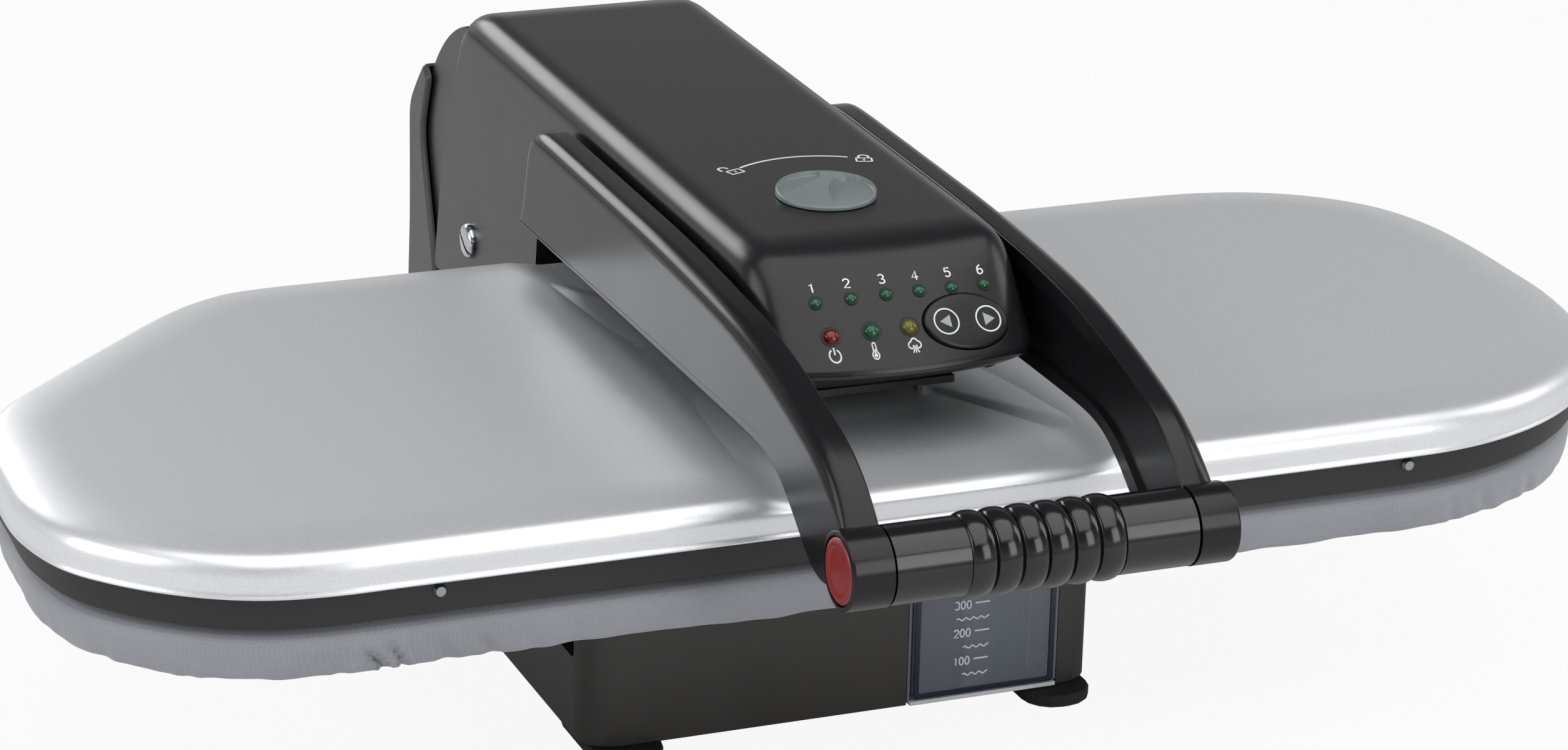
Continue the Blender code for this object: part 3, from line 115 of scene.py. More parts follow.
def bow(x, y, wide, tall, start, end, count=20):
    # part of an ellipse, angles in degrees from the right, anticlockwise
    angle = np.radians(np.linspace(start, end, count))
    return np.stack([x + wide * np.cos(angle), y + tall * np.sin(angle)], 1)


def turnFlat(angle):
    # what a row of flat points is multiplied with to turn it anticlockwise
    return np.array([[math.cos(angle), math.sin(angle)], [-math.sin(angle), math.cos(angle)]])


def quarter(edge, steps):
    # a rounded edge, from the side to the face: depth below the face and inset from the side
    turn = np.linspace(0, math.pi / 2, steps + 1) if edge else [math.pi / 2]
    return [(edge * (1 - math.sin(a)), edge * (1 - math.cos(a))) for a in turn]


# Meshes
def tube(rows, wrapRows=False):
    # a net of quads over closed rows of points, with one flat face over the first and the last row
    grid = np.asarray(rows, float)
    index = np.arange(grid.shape[0] * grid.shape[1]).reshape(grid.shape[:2])
    a = index if wrapRows else index[:-1]
    b = np.roll(index, -1, 0) if wrapRows else index[1:]
    quads = np.stack([a, np.roll(a, -1, 1), np.roll(b, -1, 1), b], -1)
    ends = [] if wrapRows else [index[0][::-1], index[-1]]
    return grid.reshape(-1, 3), quads.reshape(-1, 4), ends


def makeMesh(name, shells):
    # one mesh from several nets, filled as whole arrays
    points, loops, sizes, shift = [], [], [], 0
    for shell, quads, ends in shells:
        points.append(shell)
        loops.append(quads.ravel() + shift)
        sizes.append(np.full(len(quads), 4))
        for end in ends:
            loops.append(end + shift)
            sizes.append([len(end)])
        shift += len(shell)
    points, loops, sizes = np.concatenate(points), np.concatenate(loops), np.concatenate(sizes)
    mesh = bpy.data.meshes.new(name)
    mesh.vertices.add(len(points))
    mesh.vertices.foreach_set("co", points.astype(np.float32).ravel())
    mesh.loops.add(len(loops))
    mesh.loops.foreach_set("vertex_index", loops.astype(np.int32))
    mesh.polygons.add(len(sizes))
    mesh.polygons.foreach_set("loop_start", (np.cumsum(sizes) - sizes).astype(np.int32))
    mesh.polygons.foreach_set("loop_total", sizes.astype(np.int32))
    mesh.update(calc_edges=True)
    mesh.validate()
    return mesh


def makePiece(name, shells, *look, **settings):
    # an object with its faces turned outward; look and settings are what shade takes
    mesh = makeMesh(name, shells)
    work = bmesh.new()
    work.from_mesh(mesh)
    bmesh.ops.remove_doubles(work, verts=work.verts, dist=1e-7)
    bmesh.ops.recalc_face_normals(work, faces=work.faces)
    work.to_mesh(mesh)
    work.free()
    piece = bpy.data.objects.new(name, mesh)
    bpy.context.scene.collection.objects.link(piece)
    if look:
        shade(piece, *look, **settings)
    return piece


def shade(piece, finish, body, slot, stands=(), sharp=35, weighted=True):
    # finish, body, material slot (not used) and the solids that the piece is shown for; sharp is in degrees
    piece.data.materials.clear()
    piece.data.materials.append(finish)
    piece.data.shade_smooth()
    piece.data.set_sharp_from_angle(angle=math.radians(sharp))
    if weighted:
        normals = piece.modifiers.new("even shading", "WEIGHTED_NORMAL")
        normals.keep_sharp = True
    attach(piece, body)
    if stands:
        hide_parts(*stands)


def carve(piece, cutters, how="DIFFERENCE"):
    # cuts the cutters out of the piece, or joins them to it, and keeps only the result
    for cutter in cutters:
        boolean = piece.modifiers.new("carve", "BOOLEAN")
        boolean.object, boolean.operation, boolean.solver = cutter, how, "EXACT"
    bpy.context.view_layer.update()
    done = bpy.data.meshes.new_from_object(piece.evaluated_get(bpy.context.evaluated_depsgraph_get()))
    piece.modifiers.clear()
    piece.data = done
    for cutter in cutters:
        bpy.data.objects.remove(cutter)


def plate(outline, low, high, edge=0.0, steps=3, axis=0, lowEdge=None, weight=1.0):
    # a closed outline carried from low to high along one axis, with both its edges rounded
    across = np.delete(np.arange(3), axis)
    pull = inward(outline) * np.broadcast_to(weight, len(outline))[:, None]
    lowEdge = edge if lowEdge is None else lowEdge
    offsets = [(low + deep, inset) for deep, inset in quarter(lowEdge, steps)[::-1]]
    offsets += [(high - deep, inset) for deep, inset in quarter(edge, steps)]
    rows = np.zeros((len(offsets), len(outline), 3))
    for row, (place, inset) in zip(rows, offsets):
        row[:, axis] = place
        row[:, across] = outline + pull * inset
    return tube(rows)


def turned(profile, centre, axis, count=48):
    # a profile of (radius, distance along the axis) rows turned once round the axis
    profile = np.asarray(profile, float)
    angle = np.linspace(0, math.tau, count, endpoint=False)
    axes = Vector(axis).to_track_quat("Z", "Y").to_matrix()
    local = np.stack([profile[:, :1] * np.cos(angle), profile[:, :1] * np.sin(angle),
                      np.repeat(profile[:, 1:], count, 1)], -1)
    return tube(local @ np.array(axes).T + np.array(centre))


# Materials
def linear(hexColour):
    # sRGB hex to the linear colour that the shader takes
    s = np.array([int(hexColour[k:k + 2], 16) / 255 for k in (1, 3, 5)])
    return (*np.where(s <= 0.04045, s / 12.92, ((s + 0.055) / 1.055) ** 2.4), 1.0)


def addNode(tree, kind, settings, inputs):
    # a node with its own settings, and inputs that are numbers, colours or another node's output
    node = tree.nodes.new(kind)
    for name, value in settings.items():
        setattr(node, name, value)
    for name, value in inputs.items():
        if isinstance(value, bpy.types.NodeSocket):
            tree.links.new(value, node.inputs[name])
        else:
            node.inputs[name].default_value = value
    return node


def newMaterial(name, sockets):
    # a Principled material with some sockets set, its tree, and the coordinates for its patterns
    material = bpy.data.materials.new(name)
    material.use_nodes = True
    tree = material.node_tree
    for socket, value in sockets.items():
        tree.nodes["Principled BSDF"].inputs[socket].default_value = value
    return material, tree, addNode(tree, "ShaderNodeTexCoord", {}, {}).outputs


def noiseOf(tree, place, scale, detail=2.0, roughness=0.5):
    # a noise with scale grains to the metre
    node = addNode(tree, "ShaderNodeTexNoise", {}, {
        "Vector": place, "Scale": scale, "Detail": detail, "Roughness": roughness})
    return node.outputs["Fac"]


def ranged(tree, value, start, end, low, high):
    # a value between start and end becomes one between low and high
    node = addNode(tree, "ShaderNodeMapRange", {}, {
        "Value": value, "From Min": start, "From Max": end, "To Min": low, "To Max": high})
    return node.outputs["Result"]


def reckon(tree, how, first, second):
    return addNode(tree, "ShaderNodeMath", {"operation": how}, {0: first, 1: second}).outputs["Value"]


def relief(tree, height, strength, deep):
    # the pattern as a bump on the surface, deep in millimetres
    bump = addNode(tree, "ShaderNodeBump", {}, {
        "Height": height, "Strength": strength, "Distance": deep / 1000})
    tree.links.new(bump.outputs["Normal"], tree.nodes["Principled BSDF"].inputs["Normal"])


def tint(tree, colour, tone, gloss=None):
    # the colour times its tone, and how rough each place is
    mixed = addNode(tree, "ShaderNodeMix", {"data_type": "RGBA", "blend_type": "MULTIPLY"}, {
        "Factor": 1.0, 6: linear(colour), 7: tone})
    tree.links.new(mixed.outputs[2], tree.nodes["Principled BSDF"].inputs["Base Color"])
    if gloss is not None:
        tree.links.new(gloss, tree.nodes["Principled BSDF"].inputs["Roughness"])


def moulded(name, colour, rough, grain=1.1, height=0.012, drift=0.1, ior=1.53):
    # moulded plastic: fine spark-eroded grain (grain in mm, coarser than the real 0.3 so that it shows),
    # slow drift of the colour where the melt cooled unevenly, and faint handling marks in the gloss
    material, tree, on = newMaterial(name, {"IOR": ior})
    slow = noiseOf(tree, on["Object"], 18.0)
    tint(tree, colour, ranged(tree, slow, 0.3, 0.7, 1 - drift, 1 + drift),
         ranged(tree, slow, 0.25, 0.75, rough * 0.9, rough * 1.1))
    relief(tree, noiseOf(tree, on["Object"], 1000 / grain, 3.0, 0.55), 0.35, height)
    return material


def worked(name, colour, rough, stretch=(1, 1, 1), grain=0.6, height=0.006, metallic=1.0):
    # bare, plated or enamelled metal: fine lines of the tool or the rolling, drawn out one way by stretch
    material, tree, on = newMaterial(name, {"Metallic": metallic})
    lines = addNode(tree, "ShaderNodeMapping", {}, {"Vector": on["Object"], "Scale": stretch})
    noise = noiseOf(tree, lines.outputs["Vector"], 1000 / grain, 4.0, 0.6)
    tint(tree, colour, ranged(tree, noise, 0.3, 0.7, 0.93, 1.05),
         ranged(tree, noise, 0.3, 0.7, rough * 0.75, rough * 1.25))
    relief(tree, noise, 0.3, height)
    return material


def silverLacquer():
    # sprayed silver lacquer on steel sheet: aluminium flakes, drawn at 0.8 mm so that they show,
    # and a satin coat with a faint orange peel
    material, tree, on = newMaterial("sprayed silver lacquer", {
        "Metallic": 0.6, "Coat Weight": 0.1, "Coat Roughness": 0.2})
    flake = noiseOf(tree, on["Object"], 1000 / 0.8, 0.0)
    peel = noiseOf(tree, on["Object"], 400.0)
    tint(tree, "#dcdee1", ranged(tree, flake, 0.4, 0.6, 0.975, 1.025),
         ranged(tree, peel, 0.3, 0.7, 0.33, 0.38))
    relief(tree, peel, 0.1, 0.04)
    return material


def coatedCotton():
    # aluminised cotton: a plain weave at 0.45 mm, drawn at 1.3 mm so that it shows, with slubs, worn
    # patches and a metallic sheen
    material, tree, on = newMaterial("aluminised woven cotton", {
        "Roughness": 0.62, "Metallic": 0.15, "Sheen Weight": 0.25, "Sheen Roughness": 0.5})
    warp, weft = (addNode(tree, "ShaderNodeTexWave", {"bands_direction": way}, {
        "Vector": on["UV"], "Scale": 2000 / 1.3 / 6.2832, "Distortion": 0.6, "Detail": 1.0}).outputs["Fac"]
        for way in "XY")
    slub, worn = noiseOf(tree, on["Object"], 900.0), noiseOf(tree, on["Object"], 25.0, 3.0)
    threads = reckon(tree, "ADD", reckon(tree, "MULTIPLY", warp, weft), slub)
    tint(tree, "#8f9198", reckon(tree, "MULTIPLY", ranged(tree, threads, 0.2, 1.4, 0.92, 1.06),
                                 ranged(tree, worn, 0.3, 0.7, 0.93, 1.06)))
    relief(tree, threads, 0.5, 0.2)
    return material


def clearMoulding(name, colour, rough, clear):
    # clear or tinted acrylic and styrene: glossy, with the flow of the melt as a faint wave in the surface
    material, tree, on = newMaterial(name, {
        "Base Color": linear(colour), "IOR": 1.49, "Roughness": rough, "Transmission Weight": clear})
    relief(tree, noiseOf(tree, on["Object"], 60.0, 1.0), 0.15, 0.1)
    return material


mouldedAbsTop = moulded("moulded ABS, charcoal", "#1a191b", 0.26, ior=1.4)
mouldedAbsHandle = moulded("moulded ABS, handle", "#141315", 0.23, ior=1.38)
mouldedAbsGrip = moulded("moulded ABS, glossy grip", "#121113", 0.16)
mouldedAbsBase = moulded("moulded ABS, black base", "#33312f", 0.4)
mouldedAbsGrey = moulded("moulded ABS, tower", "#3a3939", 0.38)
mouldedAbsKnob = moulded("moulded ABS, knob grey", "#6e7778", 0.38)
mouldedRed = moulded("moulded ABS, red cap", "#7e1a17", 0.3)
mouldedPhenolic = moulded("moulded phenolic band", "#161616", 0.55)
printedWhite = moulded("pad-printed white ink", "#d9dbdb", 0.55, height=0.002)
printedGrey = moulded("pad-printed grey ink", "#9a9c9e", 0.55, height=0.002)
darkGap = moulded("moulded ABS, shaded joint", "#0b0b0c", 0.6)
silverPaint = silverLacquer()
coverCloth = coatedCotton()
chromedSteel = worked("chromed steel, turned", "#c9ccd0", 0.14, grain=0.8, height=0.003)
clearTank = clearMoulding("clear styrene, tank", "#cfd8e4", 0.05, 0.85)
clearEdge = clearMoulding("clear styrene, thick edge", "#2c3a55", 0.06, 0.6)
greenLens, redLens, oliveLens = (
    clearMoulding("acrylic lens, " + name, colour, 0.08, 0.35)
    for name, colour in (("green", "#0f5a34"), ("red", "#7a1212"), ("olive", "#6f6a16")))
print("materials made")

# Finishes of the CAD's own solids, by material slot and, for some, by node
# near-black steel for the plate hanger and the head beam is painted shade: it stands for the shade under the
# head that they sit in
paintedShadeSteel = worked("near-black steel, painted shade", "#161616", 0.42, metallic=0.0)
slotFinish = {
    "black_plastic": mouldedAbsBase, "charcoal_plastic": mouldedAbsTop, "grey_plastic": mouldedAbsGrey,
    "red_plastic": mouldedRed, "clear_plastic": clearTank, "green_lens": greenLens, "red_lens": redLens,
    "olive_lens": oliveLens, "bright_bolt": chromedSteel, "silver_paint": silverPaint,
    "silver_cloth": coverCloth,
    "circuit_board": moulded("glass-epoxy laminate", "#1f5a33", 0.35, height=0.004),
    "black_rubber": moulded("moulded rubber feet", "#1c1b1b", 0.75, height=0.02),
    "steel": worked("zinc-plated pressed steel", "#9b9da0", 0.32, stretch=(1, 6, 1)),
    "painted_tray": moulded("painted steel tray", "#5d6064", 0.45, height=0.01),
    "cast_aluminium": worked("cast aluminium, ground", "#a9acaf", 0.38, stretch=(1, 8, 1), grain=0.9),
    "foam": moulded("foam, slab cut", "#d8d2c2", 0.95, grain=1.6, height=0.3)}
# the hanger and the beam under the head: near-black, as painted shade
nodeFinish = {"plate_hanger": paintedShadeSteel, "head_beam": paintedShadeSteel,
              "tank_bay": moulded("moulded ABS, tank bay", "#6a7079", 0.4)}
for row in frame["record"]["subparts"]:
    nodes[row["node"]].data.materials.clear()
    nodes[row["node"]].data.materials.append(nodeFinish.get(row["node"], slotFinish[row["material_slot"]]))

# The outline that plate and board share, from above: shares of the half width and of the depth
outline = {"halfWidth": 0.342, "front": -0.216, "back": 0.088, "shares": (
    (-0.995, 0.42), (-0.995, 0.3), (-0.972, 0.195), (-0.93, 0.125), (-0.868, 0.062), (-0.795, 0.018),
    (-0.715, 0.001), (-0.6, 0.0), (-0.2, 0.0), (0.2, 0.0), (0.52, 0.0), (0.66, 0.006), (0.765, 0.04),
    (0.855, 0.1), (0.925, 0.18), (0.972, 0.28), (0.995, 0.4), (1.0, 0.52), (1.0, 0.64), (0.99, 0.745),
    (0.962, 0.835), (0.912, 0.905), (0.845, 0.957), (0.765, 0.988), (0.66, 1.0), (0.4, 1.0), (0.0, 1.0),
    (-0.4, 1.0), (-0.565, 0.998), (-0.635, 0.975), (-0.7, 0.925), (-0.79, 0.828), (-0.88, 0.727),
    (-0.95, 0.64), (-0.988, 0.545))}
deep = outline["back"] - outline["front"]
rimLine = smoothLoop(np.array(outline["shares"]) * (1, deep) + (0, outline["front"]), 12)
ends = rimLine[:, 0].min() + rimLine[:, 0].max()
rimLine[:, 0] = (2 * rimLine[:, 0] - ends) / np.ptp(rimLine[:, 0]) * outline["halfWidth"]
rimMiddle = np.array([0, outline["front"] + deep / 2])


def rings(line, profile):
    # rows of points: the outline moved in by inset and up to height, then drawn to the middle by reach
    pull = inward(line)
    return np.array([
        np.column_stack([rimMiddle + (line + pull * inset - rimMiddle) * reach, np.full(len(line), height)])
        for inset, height, reach in profile])


# Silver cover of the heated plate: a lip, a round shoulder, and a middle that lies lower between the arms
plateCover = {
    "low": 0.1286, "top": 0.1471, "side": 0.0009, "shoulder": 0.0088, "thick": 0.0012, "crown": 0.0022,
    "crownIn": 0.023, "sink": 0.0036, "sinkHalf": 0.0705, "sinkRamp": 0.02, "points": 660,
    # beaded lip: inset and height over its lower edge
    "lip": ((0.0007, 0), (0.0002, 0.0003), (0, 0.0007), (0.0002, 0.0012), (0.0007, 0.0017), (0.0009, 0.003),
            (0.0009, 0.006)),
    # halfway round the shoulder, on its inner face: shares of the radius in and down, and of the wall
    "halfway": (0.3, 0.29, 0.7)}
low, top, side, radius, thick, crown, crownIn = (
    plateCover[key] for key in ("low", "top", "side", "shoulder", "thick", "crown", "crownIn"))
line = evenLoop(rimLine, plateCover["points"])
# the shoulder ends on the slope that the crown starts with
turn = np.linspace(0, math.pi / 2 - math.atan(2 * crown / crownIn), 14)
shoulderLow = top - crown - radius * math.sin(turn[-1])
shoulderIn = side + radius * (1 - math.cos(turn[-1]))
flatIn = shoulderIn + crownIn
profile = [(inset, low + height, 1) for inset, height in plateCover["lip"]]
profile += [(side + radius * (1 - math.cos(a)), shoulderLow + radius * math.sin(a), 1) for a in turn]
profile += [(shoulderIn + crownIn * k, top - crown * (1 - k) ** 2, 1) for k in np.linspace(0, 1, 10)[1:]]
profile += [(flatIn, top, reach) for reach in np.linspace(0.96, 0.02, 26)]
partIn, partDown, partWall = plateCover["halfway"]
inside = [(flatIn, top - thick, 0.02), (flatIn, top - thick, 1), (shoulderIn, top - crown - thick, 1),
          (side + radius * partIn + thick * partWall, top - crown - radius * partDown - thick * partWall, 1),
          (side + thick, top - crown - radius, 1), (plateCover["lip"][0][0] + thick, low, 1)]
rows = rings(line, inside + profile)
raised = np.clip((rows[..., 2] - (top - radius)) / radius, 0, 1)
fromEdge = plateCover["sinkHalf"] + plateCover["sinkRamp"] / 2 - np.abs(rows[..., 0])
rows[..., 2] -= plateCover["sink"] * raised * smoothStep(fromEdge / plateCover["sinkRamp"])
makePiece("plateCover", [tube(rows)], silverPaint, "head", "silver_paint", ["plate_cover"], sharp=60,
          weighted=False)

# Black heat-proof band under the cover's lip
band = {"low": 0.1153, "high": 0.1283, "out": 0.005, "wide": 0.008, "edge": 0.0006}
out, back = band["out"], band["out"] + band["wide"]
profile = [(out + band["edge"], band["low"], 1), (out, band["low"] + band["edge"], 1), (out, band["high"], 1),
           (back, band["high"], 1), (back, band["low"], 1)]
makePiece("insulatingBand", [tube(rings(line, profile), wrapRows=True)], mouldedPhenolic, "head",
          "black_plastic", ["insulating_band"])

# Cloth cover over the foam pad: drawn in by the elastic of the hem, loose down its side and taut above
cloth = {
    "points": 900, "taut": 0.112, "slack": 0.014, "looseRows": 34, "move": 0.0006, "waveShare": 0.45,
    "gatherShare": 0.35, "gatherLong": 0.011, "gatherDrift": 0.13, "hemWave": 0.0007, "hemTop": 0.0975,
    "hemFade": 0.005, "sideTop": 0.1125, "meanRadius": 0.28,
    # from the hem's inner edge round the side to the middle of the top: inset, height, reach
    "section": ((0.023, 0.0938, 1), (0.0165, 0.0934, 1), (0.0118, 0.0931, 1), (0.0094, 0.0936, 1),
                (0.008, 0.0955, 1), (0.0072, 0.0985, 1), (0.0067, 0.1015, 1), (0.0063, 0.105, 1),
                (0.0068, 0.108, 1), (0.0085, 0.1104, 1), (0.012, 0.1125, 1), (0.0165, 0.1135, 1),
                (0.022, 0.114, 1), (0.03, 0.1143, 1), (0.03, 0.1146, 0.7), (0.03, 0.1147, 0.35),
                (0.03, 0.1147, 0.03)),
    # its inner face, the other way
    "lining": ((0.03, 0.1132, 0.03), (0.03, 0.1132, 1), (0.0135, 0.1108, 1), (0.0085, 0.105, 1),
               (0.0085, 0.1, 1), (0.011, 0.096, 1), (0.023, 0.0953, 1)),
    # waves round the board: count and share of the move
    "waves": ((5, 0.35), (9, 0.35), (14, 0.3), (23, 0.28), (37, 0.24), (53, 0.2), (71, 0.16), (97, 0.12)),
    # folds: place along the front edge at top and at bottom, heights there, width and depth
    "folds": (
        (-0.2351, -0.2213, 0.1072, 0.0917, 0.0016, 0.0026), (-0.2245, -0.2147, 0.109, 0.092, 0.0013, 0.0022),
        (-0.2465, -0.2395, 0.104, 0.0925, 0.0022, 0.0009), (-0.205, -0.1985, 0.1085, 0.0925, 0.003, 0.0012),
        (-0.19, -0.179, 0.1065, 0.0915, 0.003, 0.0014), (-0.17, -0.164, 0.106, 0.0925, 0.0034, 0.0008),
        (-0.296, -0.2925, 0.104, 0.0925, 0.002, 0.0008), (-0.321, -0.318, 0.105, 0.0935, 0.002, 0.0008),
        (0.226, 0.23, 0.11, 0.093, 0.0022, 0.0007), (0.242, 0.248, 0.108, 0.093, 0.003, 0.0008),
        (0.27, 0.275, 0.107, 0.093, 0.003, 0.0007))}
line = evenLoop(rimLine, cloth["points"])
rows = rings(line, smoothPath(cloth["section"], 3))
along = lengths(line)
height = rows[..., 2]
slack = smoothStep((cloth["taut"] - height) / cloth["slack"])
slack *= (np.arange(len(rows)) < cloth["looseRows"])[:, None]
phases = np.random.default_rng(7).random(len(cloth["waves"]))
waves = sum(size * np.sin(math.tau * (count * along / along[-1] + phase))
            for (count, size), phase in zip(cloth["waves"], phases))
# gathers only where the outline bends: its second difference, averaged over 41 points
bend = np.linalg.norm(np.roll(line, -9, 0) - 2 * line + np.roll(line, 9, 0), axis=1)
mean = np.convolve(np.concatenate([bend[-20:], bend, bend[:20]]), np.ones(41) / 41, "valid")
gathers = np.clip(mean / bend.max(), 0, 1) * 0.9 * np.sin(
    math.tau * along / cloth["gatherLong"] + 2 * np.sin(math.tau * along / cloth["gatherDrift"]))
move = (waves * cloth["waveShare"] + gathers * cloth["gatherShare"])[None, :] * slack * cloth["move"]
for topX, lowX, topZ, lowZ, wide, deep in cloth["folds"]:
    # a crease is a valley along a slanting line, with a soft ridge either side, fading out above its top end
    share = np.clip((topZ - height) / (topZ - lowZ), 0, 1.2)
    off = (rows[..., 0] - (topX + (lowX - topX) * share)) / wide
    front = (rows[..., 1] < -0.15) & (height < topZ + 0.002)
    crease = np.exp(-off ** 2) - 0.55 * np.exp(-(np.abs(off) - 1.7) ** 2)
    move += front * deep * smoothStep(share * 1.6) * crease
rows[..., :2] += inward(line)[None] * move[..., None]
rows[..., 2] += waves[None, :] * cloth["hemWave"] * smoothStep((cloth["hemTop"] - height) / cloth["hemFade"])
rows = np.concatenate([rings(line, cloth["lining"]), rows])
boardCover = makePiece("boardCover", [tube(rows)], coverCloth, "base", "silver_cloth",
                       ["board_cover", "board_pad"], sharp=70, weighted=False)
# the weave's map, in metres: as seen from above on top, round the board and down it on the side
spots = np.zeros(len(boardCover.data.vertices) * 3)
boardCover.data.vertices.foreach_get("co", spots)
spots = spots.reshape(-1, 3)
corner = np.zeros(len(boardCover.data.loops), int)
boardCover.data.loops.foreach_get("vertex_index", corner)
bearing = np.arctan2(spots[:, 1] - rimMiddle[1], spots[:, 0])
flat = np.where(spots[:, 2:] > cloth["sideTop"], spots[:, :2],
                np.column_stack([bearing * cloth["meanRadius"], spots[:, 2]]))
boardCover.data.uv_layers.new(name="weave").data.foreach_set("uv", flat[corner].ravel())
print("plate, band and cloth made")

# Head: the CAD's section of the housing, with every corner rounded, carried across its width
head = {"half": 0.057, "round": 0.013, "bow": 0.0105, "wall": 0.0025, "drop": 0.004, "points": (
    # y, z, how far the side's rounding pulls it in (y, z), share of the bow, size of its own corner
    (-0.133, 0.21755, 0.35, -1.0, 0.15, 0.012), (-0.076, 0.2184, 0.0, -1.0, 0.0, 0.01),
    (0.198, 0.2225, 0.0, -1.0, 0.0, 0.01), (0.212, 0.219, -0.5, -0.8, 0.0, 0.006),
    (0.2205, 0.2095, -0.55, -0.55, 0.0, 0.0015), (0.239, 0.154, 0.0, 0.0, 0.0, 0.02),
    (0.254, 0.086, 0.0, 0.0, 0.0, 0.004), (0.114, 0.086, 0.0, 0.0, 0.0, 0.004),
    (0.104, 0.1565, 0.0, 0.0, 0.0, 0.004), (0.093, 0.1525, 0.0, 0.0, 0.0, 0.004),
    (-0.126, 0.1525, 0.0, 0.0, 0.3, 0.003), (-0.162, 0.17, 0.5, 0.2, 0.8, 0.005),
    (-0.1725, 0.176, 0.9, 0.1, 1.0, 0.004), (-0.15425, 0.19841, 0.7, -0.4, 0.8, 0.014),
    (-0.1425, 0.2135, 0.5, -0.85, 0.35, 0.009))}
headTable = np.array(head["points"])
lowRow, middleRow, topRow = 12, 13, 14     # rows of the table at the panel's lower edge, middle and top


def headBody(name, half, radius, points, cornerReach):
    # section rows times stations across the width; a station near the side is pulled in along a quarter round
    section = roundCorners(points, cornerReach, 5)
    turn = np.linspace(0, math.pi / 2, 9)
    middle = np.linspace(0, half - radius, 14, endpoint=False)[1:]
    stations = np.concatenate([middle, half - radius * (1 - np.sin(turn))])
    insets = np.concatenate([np.zeros(len(middle)), radius * (1 - np.cos(turn))])
    stations = np.concatenate([-stations[::-1], [0], stations])
    insets = np.concatenate([insets[::-1], [0], insets])
    bowed = head["bow"] * (1 - (stations / half) ** 2)
    y = section[None, :, 0] + section[None, :, 2] * insets[:, None] - section[None, :, 4] * bowed[:, None]
    z = section[None, :, 1] + section[None, :, 3] * insets[:, None]
    x = np.repeat(stations[:, None], len(section), 1)
    return makePiece(name, [tube(np.stack([x, y, z], -1))])


def unit(rows):
    return rows / np.linalg.norm(rows, axis=-1, keepdims=True)


headCover = headBody("headCover", head["half"], head["round"], headTable[:, :5], headTable[:, 5])
# the hollow: corners moved in by the wall, and some out through the open underside and the rear seam
wall, drop = head["wall"], head["drop"]
hollow = headTable[:, :5].copy()
given = headTable[:, :2]
ahead, behind = unit(np.roll(given, -1, 0) - given), unit(given - np.roll(given, 1, 0))
middleNormal = unit(np.stack([(ahead + behind)[:, 1], -(ahead + behind)[:, 0]], 1))
share = np.maximum((middleNormal * np.stack([behind[:, 1], -behind[:, 0]], 1)).sum(1), 0.4)
hollow[:, :2] += middleNormal * (wall / share)[:, None]
moved = {4: (drop * 0.55, -wall * 0.7 - drop * 1.1), 5: (drop * 2, 0), 6: (drop, -drop), 7: (wall, -drop),
         8: (wall, -drop), 9: (0, -drop), 10: (wall, -drop)}
for corner, step in moved.items():
    hollow[corner, :2] = given[corner] + step
headHollow = headBody("headHollow", head["half"] - wall, head["round"] - wall, hollow, 0.0)


def onPanel(x, rise, out=0.0):
    # places on the sloped control panel: x across, rise from its lower edge to its top, out along its normal
    x, rise = np.broadcast_arrays(np.asarray(x, float), np.asarray(rise, float))

    def face(x, rise):
        upper = rise >= 0.5
        part = np.where(upper, rise * 2 - 1, rise * 2)
        a, b = headTable[np.where(upper, middleRow, lowRow)], headTable[np.where(upper, topRow, middleRow)]
        y, z, share = (a[..., k] + (b[..., k] - a[..., k]) * part for k in (0, 1, 4))
        return np.stack([x, y - head["bow"] * (1 - (x / head["half"]) ** 2) * share, z], -1)
    here = face(x, rise)
    normal = unit(np.cross(face(x + 0.0006, rise) - here, face(x, rise + 0.01) - here))
    return here + normal * np.asarray(out, float)[..., None]


def standing(side, up, out, place):
    # the matrix of a thing that stands at place, its x, y and z along side, up and out
    turnTo = Matrix((side, up, out)).transposed().to_4x4()
    turnTo.translation = place
    return turnTo


def panelFrame(x, rise):
    place, out = Vector(onPanel(x, rise)), Vector(onPanel(x, rise, 1.0)) - Vector(onPanel(x, rise))
    side = (Vector((1, 0, 0)) - out * out.x).normalized()
    return standing(side, out.cross(side), out, place)


rocker = {"x": 0.0256, "rise": 0.31, "half": (0.0185, 0.0118), "gap": 0.0005, "proud": 0.0012, "deep": 0.0042,
          # its crown: how far grown, and shares of proud
          "crown": ((0, 0.3), (-0.0004, 0.75), (-0.0011, 1), (-0.004, 1.12), (-0.008, 1.2))}
rockerFrame = panelFrame(rocker["x"], rocker["rise"])


def onRocker(rows):
    # from the rocker's own frame to the press
    return rows @ np.array(rockerFrame.to_3x3()).T + np.array(rockerFrame.translation)


def oval(grow, height, count=72):
    # the rocker's ellipse grown on all sides, at a height over the panel
    wide, tall = rocker["half"]
    ring = bow(0, 0, wide + grow, tall + grow, 0, 360, count + 1)[:-1]
    return onRocker(np.column_stack([ring, np.full(count, height)]))


rockerHole = makePiece("rockerHole", [tube([oval(rocker["gap"], height) for height in (-0.012, 0.008)])])
carve(headCover, [headHollow, rockerHole])
shade(headCover, mouldedAbsTop, "head", "charcoal_plastic", ["head_cover"], sharp=28)
print("head housing made")

# Rocker in its oval hole: a low crowned key
rows = [oval(0, -rocker["deep"])] + [oval(grow, rocker["proud"] * share) for grow, share in rocker["crown"]]
makePiece("setRocker", [tube(rows)], mouldedAbsTop, "rocker", "charcoal_plastic", ["set_rocker"], sharp=50)

